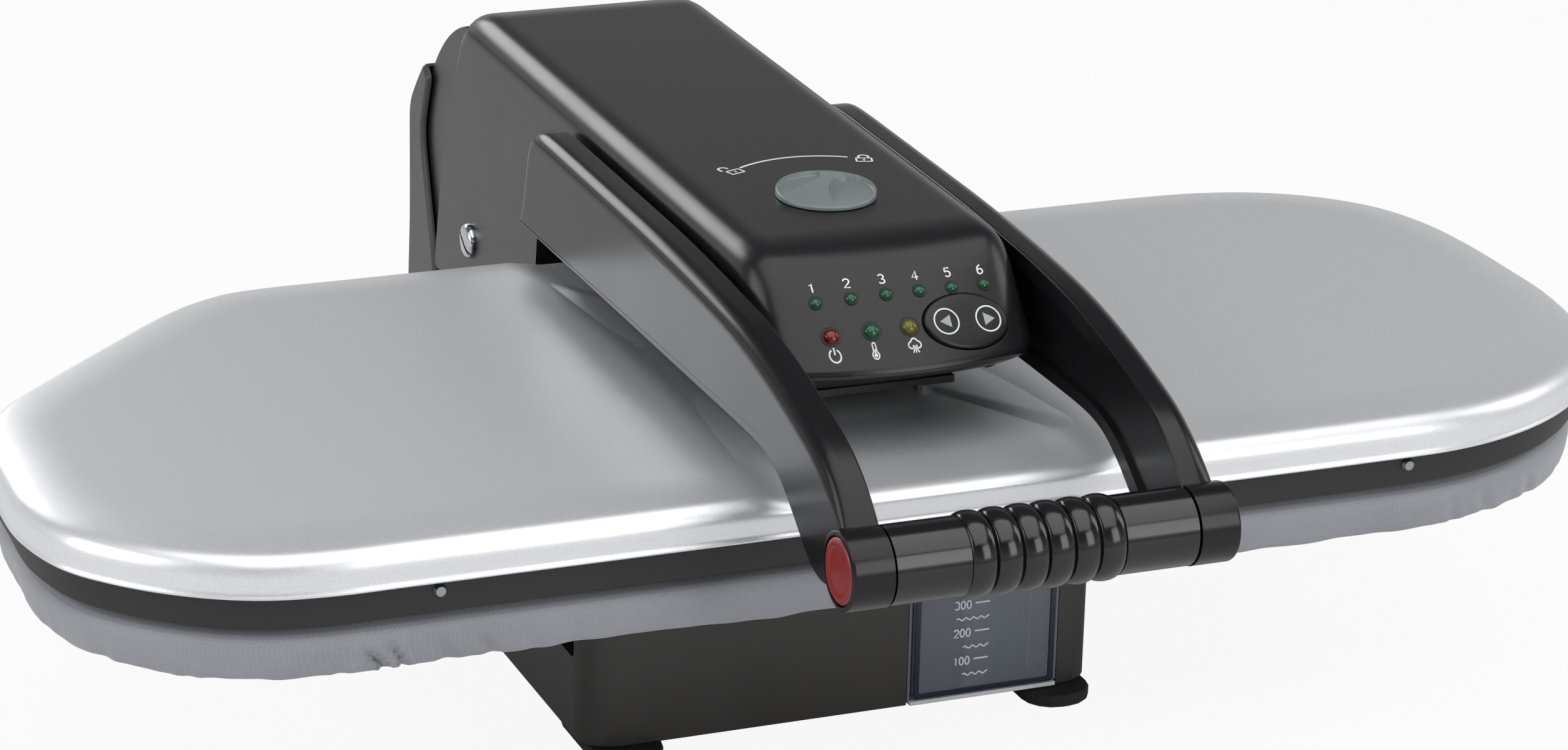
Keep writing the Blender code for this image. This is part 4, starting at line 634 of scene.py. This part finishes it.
# Domed lenses, each in a dark ring: radius, places across and up the panel, and the rise of a dome
lights = {"small": 0.0022, "large": 0.0031, "dome": 0.62, "levels": (
    (-0.0337, 0.56), (-0.0193, 0.586), (-0.0047, 0.598), (0.0094, 0.597), (0.0235, 0.584), (0.0379, 0.563)),
    "state": {"powerLight": (-0.0311, 0.301, redLens, "red_lens", "power_light"),
              "readyLight": (-0.0147, 0.322, greenLens, "green_lens", "ready_light"),
              "steamLight": (0.0011, 0.327, oliveLens, "olive_lens", "steam_light")}}


def onLight(profile, x, rise):
    # a turned shape that stands on the panel
    place = onPanel(x, rise)
    return turned(profile, place, onPanel(x, rise, 1.0) - place, 28)


def lens(x, rise, radius):
    turn = np.linspace(0, math.pi / 2, 8)[1:-1]
    tall = radius * lights["dome"]
    rows = [(radius, -0.003), (radius, 0.0001)]
    rows += [(radius * math.cos(a), 0.0001 + tall * math.sin(a)) for a in turn]
    return onLight(rows + [(radius * 0.02, 0.0001 + tall)], x, rise)


def bezel(x, rise, radius):
    shares = ((1.02, -0.0005), (1.32, -0.0005), (1.32, 0.0001), (1.22, 0.0003), (1.02, 0.0002))
    return onLight([(radius * share, height) for share, height in shares], x, rise)


makePiece("levelLights", [lens(x, rise, lights["small"]) for x, rise in lights["levels"]], greenLens, "head",
          "green_lens", ["level_lights"], sharp=60)
for name, (x, rise, finish, slot, node) in lights["state"].items():
    makePiece(name, [lens(x, rise, lights["large"])], finish, "head", slot, [node], sharp=60)
rims = [bezel(x, rise, lights["small"]) for x, rise in lights["levels"]]
rims += [bezel(row[0], row[1], lights["large"]) for row in lights["state"].values()]
makePiece("lightRims", rims, darkGap, "head", "black_plastic")

# Rear drum of the head, and the tower that it turns in
hinge = np.array([0.2, 0.115])


def arcOf(radius, start, end, count):
    # points round the hinge, angles in degrees behind the vertical
    return bow(*hinge, radius, radius, 90 - start, 90 - end, count)


drum = {"radius": 0.098, "half": 0.05, "plate": 0.0025, "wall": 0.0025, "start": 15.5, "end": 64.0,
        "plateEnd": 104.0, "lead": -12.0, "under": 0.087, "hub": 0.012, "edge": 0.0004, "gap": 0.0002}
cheek = np.vstack([arcOf(drum["under"], drum["lead"], drum["start"], 8),
                   arcOf(drum["radius"], drum["start"], drum["plateEnd"], 60),
                   arcOf(drum["hub"], drum["plateEnd"] + 60, 300 + drum["lead"], 20)])[::-1]
skin = np.vstack([arcOf(drum["radius"], drum["start"], drum["end"], 40),
                  arcOf(drum["radius"] - drum["wall"], drum["end"], drum["start"], 40)])[::-1]
shells = [plate(cheek, -drum["half"], -drum["half"] + drum["plate"], drum["edge"]),
          plate(cheek, drum["half"] - drum["plate"], drum["half"], drum["edge"]),
          plate(skin, -drum["half"] + drum["gap"], drum["half"] - drum["gap"])]
makePiece("headDrum", shells, mouldedAbsTop, "head", "charcoal_plastic", ["head_drum"], sharp=30)

tower = {"half": 0.0535, "wall": 0.0025, "gap": 0.003, "edge": 0.00275, "low": 0.0483, "outline": (
    (0.262, 0.0483, 0.001), (0.268, 0.0856, 0.01), (0.287, 0.1424, 0.012), (0.275, 0.171, 0.003),
    (0.2829, 0.1771, 0.003), (0.293, 0.167, 0.006), (0.3055, 0.1524, 0.008), (0.306, 0.1052, 0.012),
    (0.308, 0.0483, 0.001))}
towerTable = np.array(tower["outline"])
towerLine = roundCorners(towerTable[:, :2], towerTable[:, 2], 5)[::-1]
soft = smoothStep((towerLine[:, 1] - tower["low"]) / 0.02)
rearTower = makePiece("rearTower", [plate(towerLine, -tower["half"], tower["half"], tower["edge"], 4,
                                          weight=soft)])
towerHollow = np.vstack([[(0.196, 0.044), (0.196, 0.213)], arcOf(drum["radius"] + tower["gap"], 25, 88, 40),
                         [(0.303, 0.044)]])[::-1]
inside = tower["half"] - tower["wall"]
carve(rearTower, [makePiece("towerHollow", [plate(towerHollow, -inside, inside)])])
shade(rearTower, mouldedAbsGrey, "base", "grey_plastic", ["rear_tower"], sharp=30)

# Slotted hinge caps outside the head
caps = {"radius": 0.0082, "shank": 0.004, "slot": 0.0016, "face": 0.0573, "tilt": 35.0,
        # the button from its foot to its middle: shares of the radius, and distance from the face
        "button": ((1, -0.0002), (1, 0.0006), (0.96, 0.0016), (0.86, 0.0024), (0.7, 0.0029), (0.4, 0.0032),
                   (0.02, 0.0032))}
slotLine = box(-0.01, 0.01, -caps["slot"] / 2, caps["slot"] / 2)
slotLine = slotLine @ turnFlat(math.radians(caps["tilt"])) + hinge
for name, side in (("Left", -1), ("Right", 1)):
    rows = [(caps["shank"], -0.0046), (caps["shank"], -0.0002)]
    rows += [(caps["radius"] * share, out) for share, out in caps["button"]]
    cap = makePiece("hingeCap" + name, [turned(rows, (side * caps["face"], *hinge), (side, 0, 0), 64)])
    low, high = sorted((side * (caps["face"] + 0.0016), side * (caps["face"] + 0.006)))
    carve(cap, [makePiece("slotCut", [plate(slotLine, low, high)])])
    shade(cap, chromedSteel, "base", "bright_bolt", ["hinge_cap_" + name.lower()])

# Handle: two arms with a sunken inner panel, and the ribbed grip
arm = {"inner": 0.061, "outer": 0.075, "edge": 0.0068, "innerEdge": 0.0012, "sunk": 0.0018, "points": 420,
       "reach": (0.004,) + (0.02,) * 4 + (0.03,) * 17, "outline": (
    (0.08, 0.162), (0.0715, 0.198), (0.0674, 0.2061), (0.0599, 0.21), (0.0503, 0.211),
    (-0.0894, 0.209), (-0.1575, 0.205), (-0.1883, 0.2015), (-0.2191, 0.195), (-0.2442, 0.188),
    (-0.2611, 0.1825), (-0.2767, 0.1735), (-0.2894, 0.161), (-0.2983, 0.1473), (-0.2879, 0.1395),
    (-0.2749, 0.1326), (-0.2637, 0.1326), (-0.2522, 0.1385), (-0.2392, 0.1488), (-0.2262, 0.1571),
    (-0.2117, 0.161), (-0.1924, 0.162)), "panel": (
    (0.071, 0.169), (0.064, 0.193), (0.0605, 0.1985), (0.056, 0.2015), (0.049, 0.203),
    (-0.0892, 0.201), (-0.1565, 0.197), (-0.187, 0.1935), (-0.217, 0.187), (-0.2415, 0.18),
    (-0.257, 0.1748), (-0.266, 0.169), (-0.269, 0.164), (-0.268, 0.159), (-0.2665, 0.154),
    (-0.266, 0.149), (-0.264, 0.144), (-0.257, 0.144), (-0.245, 0.153), (-0.229, 0.1625),
    (-0.212, 0.1665), (-0.1924, 0.1675))}
grip = {"y": -0.2916, "z": 0.1465, "radius": 0.015, "half": 0.0607, "ribRise": 0.0014, "ribPitch": 0.0104,
        "ribs": 6, "boss": 0.0153, "bossOut": 0.078, "cap": 0.0128,
        # the red cap: shares of its radius, and distance from the boss
        "button": ((1, -0.0029), (1, -0.0009), (0.975, -0.0002), (0.92, 0.0002), (0.78, 0.0004),
                   (0.72, -0.0001), (0.62, -0.0002), (0.3, 0.0002), (0.02, 0.0003))}
armLine, panelLine = (evenLoop(roundCorners(arm[key], arm["reach"]), arm["points"])
                      for key in ("outline", "panel"))
upper = smoothStep((armLine[:, 1] - 0.15) / 0.03) * 0.85 + 0.15     # the edge is rounder higher up
pull = inward(armLine) * upper[:, None]


def armRow(line, place, inset=0.0):
    return np.column_stack([np.full(len(line), place), line + pull * inset])


def onBoss(profile, side, out, count=72):
    # a shape turned about the grip's axis, on one side
    return turned(profile, (side * out, grip["y"], grip["z"]), (side, 0, 0), count)


tall = grip["bossOut"] - arm["inner"]
bossRows = [(grip["boss"], 0), (grip["boss"], tall - 0.0019), (grip["boss"] - 0.0003, tall - 0.0011),
            (grip["boss"] - 0.0012, tall - 0.0007)]
for name, side in (("Left", -1), ("Right", 1)):
    rows = [armRow(panelLine, arm["inner"] + sunk) for sunk in (arm["sunk"], 0.0002, 0)]
    rows += [armRow(armLine, arm["inner"] + deep, inset)
             for deep, inset in quarter(arm["innerEdge"], 7)[::-1]]
    rows += [armRow(armLine, arm["outer"] - deep, inset) for deep, inset in quarter(arm["edge"], 7)]
    rows.append(armRow(armLine, arm["outer"], arm["edge"] + 0.0008))
    handleArm = makePiece("handleArm" + name, [tube(np.array(rows) * (side, 1, 1))])
    carve(handleArm, [makePiece("boss", [onBoss(bossRows, side, arm["inner"] + 0.0007)])], "UNION")
    capHole = [(grip["cap"] + 0.0004, -0.003), (grip["cap"] + 0.0004, 0.004)]
    carve(handleArm, [makePiece("capHole", [onBoss(capHole, side, grip["bossOut"])])])
    shade(handleArm, mouldedAbsHandle, "handle", "charcoal_plastic", ["handle_arm_" + name.lower()], sharp=28)
    rows = [(grip["cap"] * share, out) for share, out in grip["button"]]
    makePiece("endCap" + name, [onBoss(rows, side, grip["bossOut"], 64)], mouldedRed, "handle", "red_plastic",
              ["end_cap_" + name.lower()], sharp=45)

x = np.concatenate([np.linspace(-grip["half"], -0.033, 12), np.linspace(-0.0325, 0.0325, 261),
                    np.linspace(0.033, grip["half"], 12)])
phase = (x / grip["ribPitch"]) % 1 - 0.5
ribbed = np.abs(x) < grip["ribs"] * grip["ribPitch"] / 2
# a rib's section is part of an ellipse
rise = grip["ribRise"] * (1.65 * np.sqrt(np.clip(1 - (phase / 0.49) ** 2, 0, 1)) - 0.65) * ribbed
ends = [(grip["radius"] - 0.0002, place) for place in (-grip["half"], grip["half"])]
rows = [ends[0], *zip(grip["radius"] + rise, x), ends[1]]
makePiece("handleGrip", [turned(rows, (0, grip["y"], grip["z"]), (1, 0, 0), 72)], mouldedAbsGrip, "handle",
          "charcoal_plastic", ["handle_grip"], sharp=50)
print("handle made")

# Lock knob: a disc with a finger hollow either side of a wedge-shaped bar, pointer at the back
knob = {"y": -0.085, "radius": 0.0204, "high": 0.0036, "rim": 0.0017, "turned": 22.3, "deep": 0.0008,
        "base": 0.21857, "tilt": 0.01497, "lip": 0.0002, "drop": 0.0005, "least": 0.0006, "tab": 0.0011,
        "points": 240, "arch": ((-0.0204, 0.0038), (-0.0187, 0.0035), (-0.0088, 0.0017), (0.0007, 0.0008),
                                (0.0078, 0.0017), (0.0115, 0.0031), (0.0135, 0.005), (0.0147, 0.0075),
                                (0.0153, 0.013), (0.0156, 0.025))}
angle = np.linspace(0, math.tau, knob["points"], endpoint=False)
share = np.concatenate([np.linspace(0.02, 0.94, 70), [0.955, 0.965, 0.975, 0.985, 0.993, 1.0]])
u, v = (share[:, None] * knob["radius"] * f(angle)[None, :] for f in (np.sin, np.cos))
# the left hollow ends at a straight wall, the right one at an arch; between them stands the bar
leftWall = np.minimum(-0.811 * (u + 0.0021) + 0.586 * (v - 0.0126), -0.0023 - u)
rightWall = u - np.interp(v, *np.array(knob["arch"]).T)
outward = np.hypot(u, v) / knob["radius"]
scoop = smoothStep(np.maximum(leftWall, rightWall) / 0.0008) * smoothStep((0.975 - outward) / 0.03)
bar = knob["rim"] + (knob["high"] - knob["rim"]) * smoothStep((v + 0.0195) / 0.034)
hollow = knob["rim"] - knob["deep"] * smoothStep((0.98 - outward) / 0.5)
lip = knob["lip"] * np.exp(-((outward - 0.972) / 0.012) ** 2)
rimDrop = knob["drop"] * smoothStep((outward - 0.98) / 0.02)
high = np.maximum(bar + (hollow - bar) * scoop + lip - rimDrop, knob["least"])
side = np.stack([np.sin(angle), np.cos(angle), np.zeros(len(angle))], -1) * knob["radius"]
rows = np.concatenate([np.stack([u, v, high], -1), [side + (0, 0, 0.0008), side + (0, 0, 0.0001)]])
# the pointer: a short tab on the rim, 10 degrees past the back
tab = knob["tab"] * np.exp(-((np.degrees(angle + math.pi) % 360 - 190) / 6.0) ** 4)
rows[-3:-1, :, :2] *= (1 + tab / knob["radius"])[None, :, None]
turnTo = Matrix.Rotation(knob["tilt"], 3, "X") @ Matrix.Rotation(-math.radians(knob["turned"]), 3, "Z")
rows = rows @ np.array(turnTo).T + (0, knob["y"], knob["base"])
makePiece("lockKnob", [tube(rows)], mouldedAbsKnob, "knob", "grey_plastic", ["lock_knob"], sharp=60)

# Printed marks: strokes and small filled shapes laid on the surfaces
# how thick they are on a flat face; on the panel and the rocker, which are bowed, they are thicker
markHigh = 0.00006


def ribbon(path, width, place, closed=False):
    # a stroke: a flat four-cornered section carried along the path
    path = np.asarray(path, float)
    ahead = np.roll(path, -1, 0) - np.roll(path, 1, 0) if closed else np.gradient(path, axis=0)
    side = np.stack([-ahead[:, 1], ahead[:, 0]], 1) / np.linalg.norm(ahead, axis=1, keepdims=True) * width / 2
    corners = [(path - side, 0), (path + side, 0), (path + side, markHigh), (path - side, markHigh)]
    grid = np.stack([place(p[:, 0], p[:, 1], np.full(len(p), h)) for p, h in corners], 1)
    return tube(grid, wrapRows=closed)


def patch(shape, place):
    # a small filled shape
    return tube([place(shape[:, 0], shape[:, 1], np.full(len(shape), h)) for h in (0, markHigh)])


digits = {
    "1": [[(-0.16, 0.3), (0.06, 0.5), (0.06, -0.5)]],
    "2": [np.vstack([bow(0, 0.22, 0.28, 0.28, 170, -35, 14), [(-0.28, -0.5), (0.3, -0.5)]])],
    "3": [bow(-0.02, 0.25, 0.26, 0.25, 150, -90, 14), bow(-0.02, -0.25, 0.29, 0.25, 90, -150, 14)],
    "4": [[(0.12, -0.5), (0.12, 0.5), (-0.3, -0.2), (0.32, -0.2)]],
    "5": [np.vstack([[(0.26, 0.5), (-0.2, 0.5), (-0.24, 0.06)],
                     bow(-0.01, -0.17, 0.28, 0.32, 130, -150, 14)])],
    "6": [bow(0.0, -0.2, 0.27, 0.3, 0, 360, 24), bow(0.06, -0.12, 0.33, 0.62, 178, 80, 12)],
    "0": [bow(0, 0, 0.27, 0.5, 0, 360, 28)]}


def number(text, x, y, tall, width, place):
    # figures of the given height, side by side round the middle x
    step = tall * 0.78
    return [ribbon(np.asarray(path) * tall + (x + (k - (len(text) - 1) / 2) * step, y), width, place)
            for k, letter in enumerate(text) for path in digits[letter]]


def onTop(x, y, out):
    return np.stack([x, y, np.interp(y, headTable[:3, 0], headTable[:3, 1]) + markHigh + out], -1)


panelLong = math.hypot(*(headTable[topRow, :2] - headTable[lowRow, :2]))


def panelAt(x, rise):
    # the panel as a flat sheet round one place; its strokes are sunk and thicker, because it is bowed
    return lambda u, v, out: onPanel(x + u, rise + v / panelLong, out * 6 - 0.00015)


def padlock(x, y, openWay, turn):
    # body, shackle and keyhole; the shackle of the open one is swung aside
    rightEnd, aside = (0.0036, (-0.0022, 0.001)) if openWay else (0.0022, (0, 0))
    shackle = np.vstack([[(-0.0021, 0.0022)], bow(0, 0.004, 0.0021, 0.0022, 180, 0, 14),
                         [(0.0021, rightEnd)]])
    loops = [(evenLoop(box(-0.0032, 0.0032, -0.0022, 0.0022), 24), True, 0.00075),
             (shackle + aside, False, 0.0009), ([(0, 0.0007), (0, -0.0008)], False, 0.0008)]
    return [ribbon(np.asarray(path) @ turnFlat(turn) + (x, y), width, onTop, closed)
            for path, closed, width in loops]


topMarks = padlock(-0.0238, -0.046, True, 0.35) + padlock(0.0327, -0.0468, False, -0.3)
topMarks.append(ribbon(bow(0.004, -0.084, 0.047, 0.049, 121, 60, 40), 0.0011, onTop))
makePiece("lockMarks", topMarks, printedWhite, "head", "grey_plastic", weighted=False)

stroke, thin = 0.0006, 0.00045
panelMarks = []
for k, (x, rise) in enumerate(lights["levels"]):
    panelMarks += number(str(k + 1), 0, 0, 0.0042, stroke, panelAt(x - 0.0002, rise + 0.15))
# power
place = panelAt(-0.0313, 0.165)
panelMarks += [ribbon(bow(0, 0, 0.0022, 0.0022, 118, 422, 30), stroke, place),
               ribbon([(0, 0.0003), (0, 0.0028)], stroke, place)]
# thermometer
place = panelAt(-0.0153, 0.183)
glass = np.vstack([bow(0, -0.0014, 0.0013, 0.0013, 120, 420, 26), [(0.00065, 0.0022)],
                   bow(0, 0.0022, 0.00065, 0.0006, 0, 180, 8)])
panelMarks += [ribbon(glass, thin, place, True), patch(bow(0, -0.0014, 0.0007, 0.0007, 0, 345, 16), place),
               ribbon([(0, -0.0012), (0, 0.0006)], 0.0005, place)]
# steam cloud
place = panelAt(0.0013, 0.191)
cloud = np.vstack([bow(-0.0015, 0.0004, 0.0011, 0.0011, 290, 120, 9),
                   bow(0, 0.0013, 0.0013, 0.0013, 160, 20, 9),
                   bow(0.0015, 0.0004, 0.0011, 0.0011, 60, -110, 9)])
panelMarks.append(ribbon(cloud, 0.0005, place))
panelMarks += [ribbon([(x, 0.0004), (x, -0.0012), (x + lean, -0.0022)], thin, place)
               for x, lean in ((-0.0007, -0.0005), (0.0007, 0.0005))]
panelMarks.append(ribbon([(0, 0.0002), (0, -0.0022)], thin, place))
makePiece("panelMarks", panelMarks, printedWhite, "head", "grey_plastic", weighted=False)


def rockerFace(u, v, out):
    # strokes stand on the rocker's shoulder and end just above its crown
    height = np.where(out > 0, rocker["proud"] * 1.2 + markHigh, rocker["proud"])
    return onRocker(np.stack([u, v, height], -1))


ringMarks, arrowMarks = [], []
for x, way in ((-0.0093, -1), (0.0093, 1)):
    ringMarks.append(ribbon(bow(x, 0, 0.0053, 0.0053, 0, 352.5, 48), stroke, rockerFace, True))
    arrow = np.array([(-0.0019 * way, -0.0027), (0.0029 * way, 0), (-0.0019 * way, 0.0027)])[::way]
    arrowMarks.append(patch(arrow + (x, 0), rockerFace))
makePiece("rockerRings", ringMarks, printedWhite, "rocker", "grey_plastic", weighted=False)
makePiece("rockerArrows", arrowMarks, printedGrey, "rocker", "grey_plastic", weighted=False)
print("marks made")

# Base housing: a lower part that narrows to the tower and a high front part with side cut-outs
base = {"half": 0.113, "front": -0.121, "stepBack": 0.09, "back": 0.308, "rearHalf": 0.066, "taperBack": 0.2,
        "low": 0.0055, "rearTop": 0.048, "top": 0.09, "corner": 0.0175, "wall": 0.0025, "cutLow": 0.04,
        "cutEdge": 0.016, "soft": 0.003}


def basePlan(step, high):
    # the outline from above, moved in by step
    half, rear, corner = base["half"] - step, base["rearHalf"] - step, base["corner"] - step
    front, back = base["front"] + step, base["stepBack"] - step
    if high:
        return roundCorners(box(-half, half, front, back), (corner, corner, 0.006, 0.006), 8)
    narrow = [(rear, base["taperBack"]), (rear, base["back"] - step), (-rear, base["back"] - step),
              (-rear, base["taperBack"])]
    return roundCorners([(-half, front), (half, front), (half, back), *narrow, (-half, back)],
                        (corner, corner, 0.01, 0.02, 0.006, 0.006, 0.02, 0.01), 8)


def upright(name, plan, low, high, *edge):
    # a piece that stands on a plan, from low to high
    return makePiece(name, [plate(plan, low, high, *edge, axis=2)])


tank = {"left": 0.029, "right": 0.093, "front": -0.1225, "deep": 0.104, "top": 0.064, "low": 0.0083,
        "wall": 0.002, "inside": (0.0106, 0.0612), "bentTop": 0.059}
soft, wall = base["soft"], base["wall"]
baseShell = makePiece("baseShell", [plate(basePlan(0, False), base["low"], base["rearTop"],
                                      soft, 3, 2, 0.0008)])
highPart = makePiece("highPart", [plate(basePlan(0, True), base["low"], base["top"], soft, 3, 2, 0.0008)])
carve(baseShell, [highPart], "UNION")
window = roundCorners(box(base["front"] + base["cutEdge"], base["stepBack"] - base["cutEdge"], base["cutLow"],
                          base["top"] - base["cutEdge"] / 2), 0.003, 4)
sideIn, sideOut = base["half"] - wall - 0.004, 0.14
mouth = box(tank["left"] - 0.002, tank["right"] + 0.002, base["front"] - 0.004, base["front"] + 0.0065)
carve(baseShell, [
    upright("lowHollow", basePlan(wall, False), 0.0, base["rearTop"] - wall),
    upright("highHollow", basePlan(wall, True), 0.0, base["top"] - wall),
    *(makePiece("sideCut", [plate(window, *ends)]) for ends in ((-sideOut, -sideIn), (sideIn, sideOut))),
    upright("bayMouth", mouth, 0.0, tank["top"] + 0.002),
    upright("drumWell", box(-0.0505, 0.0505, 0.147, 0.3005), 0.0415, 0.052)])
shade(baseShell, mouldedAbsBase, "base", "black_plastic", ["base_shell"], sharp=28)
print("base made")

# Clear water tank: thin walls, a stepped front frame, the intake strip and the marks on it
front, back, wall = tank["front"], tank["front"] + tank["deep"], tank["wall"]


def boxPlan(left, right, low, high, corner):
    return roundCorners(box(left, right, low, high), corner, 5)


def pipe(name, radius, start, end, place, axis, count=32):
    return makePiece(name, [turned([(radius, start), (radius, end)], place, axis, count)])


outer = boxPlan(tank["left"], tank["right"], front, back, 0.0018)
inner = boxPlan(tank["left"] + wall, tank["right"] - wall, front + wall, back - wall, 0.001)
waterTank = upright("waterTank", outer, tank["low"], tank["top"], 0.0012, 3)
valveX = (tank["left"] + tank["right"]) / 2
fillerAt, nozzleAt = (valveX, front + 0.03, tank["top"]), (valveX, back, tank["low"] + 0.012)
carve(waterTank, [upright("tankHollow", inner, tank["low"] + wall, tank["top"] - wall, 0.0008, 3),
                  pipe("fillerHole", 0.011, -0.006, 0.006, fillerAt, (0, 0, 1), 48)])
carve(waterTank, [pipe("nozzle", 0.005, -0.001, 0.01, nozzleAt, (0, 1, 0))], "UNION")
carve(waterTank, [pipe("nozzleBore", 0.0025, -0.006, 0.014, nozzleAt, (0, 1, 0))])
shade(waterTank, clearTank, "tank", "clear_plastic", ["water_tank"], sharp=30)
# inside it: the intake's channel, the curved wall beside it and the partition at the right
bend = np.radians(np.linspace(180, 352, 30))
wallLine = np.stack([0.072 + 0.0092 * np.cos(bend), front + 0.006 - 0.013 * np.sin(bend)], 1)
wallBack = wallLine + np.stack([np.cos(bend), -np.sin(bend)], 1) * 0.001
shells = [plate(boxPlan(0.0526, 0.0626, front + 0.0024, front + 0.006, 0.0006), *tank["inside"], axis=2),
          plate(boxPlan(0.0814, 0.0824, front + 0.0024, front + 0.03, 0.0004), *tank["inside"], axis=2),
          plate(np.vstack([wallLine, wallBack[::-1]]), tank["inside"][0], tank["bentTop"], axis=2)]
makePiece("tankInner", shells, clearTank, "tank", "clear_plastic", sharp=30)
frameOut, frameIn = (
    boxPlan(tank["left"] + step, tank["right"] - step, tank["low"] + step, tank["top"] - step, corner)
    for step, corner in ((0.0004, 0.0016), (0.0026, 0.0012)))
ringRows = [np.column_stack([plan[:, 0], np.full(len(plan), front - out), plan[:, 1]])
            for plan, out in ((frameOut, 0), (frameOut, 0.0007), (frameIn, 0.0007), (frameIn, 0))]
makePiece("tankFrame", [tube(ringRows, wrapRows=True)], clearEdge, "tank", "clear_plastic", sharp=30)


def onTank(u, v, out):
    return np.stack([u, np.full(np.shape(u), front - 0.00005) - out, v], -1)


tankMarks = []
for text, z in (("300", 0.048), ("200", 0.0355), ("100", 0.023)):
    tankMarks += number(text, 0.0506, z, 0.0034, stroke, onTank)
    tankMarks.append(ribbon([(0.0562, z + 0.0004), (0.0626, z + 0.0004)], 0.0007, onTank))
for z, x in ((0.0417, 0.0478), (0.029, 0.0512), (0.0168, 0.0512)):
    u = np.linspace(x, 0.0626, 60)
    wave = z + 0.0005 * np.sin((u - x) / 0.0034 * math.tau)
    tankMarks.append(ribbon(np.stack([u, wave], 1), stroke, onTank))
makePiece("tankMarks", tankMarks, printedWhite, "tank", "grey_plastic", weighted=False)
# a white lip under the tank's front: a painted highlight, standing for the bright lower edge of the clear
# tank
lip = boxPlan(tank["left"] - 0.0012, tank["right"] + 0.0012, front - 0.0004, front + 0.005, 0.001)
makePiece("bayLipPaintedHighlight", [plate(lip, 0.006, 0.0078, 0.0004, 3, 2)], printedWhite, "base", "grey_plastic", sharp=30)

# Floor of paper, near white to the camera; its light on the press stays as lit
paper = moulded("matt paper, backdrop", "#e0e0e0", 0.9, height=0.01, drift=0.0)
floorSize = 14.0
floor = upright("floor", box(-floorSize, floorSize, -floorSize, floorSize), -0.02, -0.0001)
floor.data.materials.append(paper)
tree = paper.node_tree
glow = addNode(tree, "ShaderNodeEmission", {}, {"Color": linear("#ffffff"), "Strength": 1.0})
part = reckon(tree, "MULTIPLY", addNode(tree, "ShaderNodeLightPath", {}, {}).outputs["Is Camera Ray"], 0.92)
blend = addNode(tree, "ShaderNodeMixShader", {}, {
    "Fac": part, 1: tree.nodes["Principled BSDF"].outputs["BSDF"], 2: glow.outputs["Emission"]})
tree.links.new(blend.outputs["Shader"], tree.nodes["Material Output"].inputs["Surface"])

# Light: a pale wall all round, darker above it, so that rounded edges show where they turn
world = bpy.data.worlds.new("studio")
bpy.context.scene.world = world
world.use_nodes = True
sky = world.node_tree
direction = addNode(sky, "ShaderNodeTexCoord", {}, {})
parts = addNode(sky, "ShaderNodeSeparateXYZ", {}, {"Vector": direction.outputs["Generated"]})
wallShade = addNode(sky, "ShaderNodeValToRGB", {}, {"Fac": parts.outputs["Z"]})
ramp = wallShade.color_ramp
ramp.elements[0].position, ramp.elements[0].color = 0.0, (0.9, 0.9, 0.9, 1)
ramp.elements[1].position, ramp.elements[1].color = 1.0, (0.3, 0.3, 0.31, 1)
for position, grey in ((0.2, 0.4), (0.42, 0.22), (0.58, 0.1), (0.85, 0.12)):
    ramp.elements.new(position).color = (grey, grey, grey * 1.01, 1)
sky.links.new(wallShade.outputs["Color"], sky.nodes["Background"].inputs["Color"])
sky.nodes["Background"].inputs["Strength"].default_value = 1.0


def inScene(name, data):
    thing = bpy.data.objects.new(name, data)
    bpy.context.scene.collection.objects.link(thing)
    return thing


def softbox(name, place, target, size, power):
    lamp = bpy.data.lights.new(name, "AREA")
    lamp.shape, lamp.size, lamp.size_y, lamp.energy = "RECTANGLE", size[0], size[1], power
    holder = inScene(name, lamp)
    holder.location = place
    holder.rotation_euler = (Vector(target) - Vector(place)).to_track_quat("-Z", "Y").to_euler()


softbox("over", (0.0, -0.85, 1.75), (0, -0.8, 0.1), (2.4, 2.0), 30)
softbox("left", (-2.0, -0.2, 1.0), (0, 0, 0.12), (1.4, 1.2), 17)
softbox("front", (0.9, -2.2, 1.0), (0, 0, 0.1), (1.1, 1.3), 15)
softbox("right", (1.9, -0.4, 1.2), (0, 0, 0.1), (0.8, 1.2), 8)
softbox("behind", (-0.7, 2.05, 1.03), (0, 0.1, 0.2), (1.1, 0.7), 12)

# Camera, as it was fitted to the photograph
shot = {"place": (-0.67254, -1.68522, 0.77294), "turn": 22.3, "down": 20.0, "roll": 1.4, "lens": 104.03}
a, e, r = (math.radians(shot[k]) for k in ("turn", "down", "roll"))
ahead = Vector((math.sin(a) * math.cos(e), math.cos(a) * math.cos(e), -math.sin(e)))
right = Vector((math.cos(a), -math.sin(a), 0))
up = right.cross(ahead)
camera = bpy.data.cameras.new("camera")
camera.lens, camera.sensor_width = shot["lens"], 36.0
camera.clip_start, camera.clip_end = 0.05, 60.0
holder = inScene("camera", camera)
holder.matrix_world = standing(math.cos(r) * right + math.sin(r) * up, math.cos(r) * up - math.sin(r) * right,
                               -ahead, shot["place"])
bpy.context.scene.camera = holder
bpy.context.scene.view_settings.view_transform = "Standard"

print("scene ready")
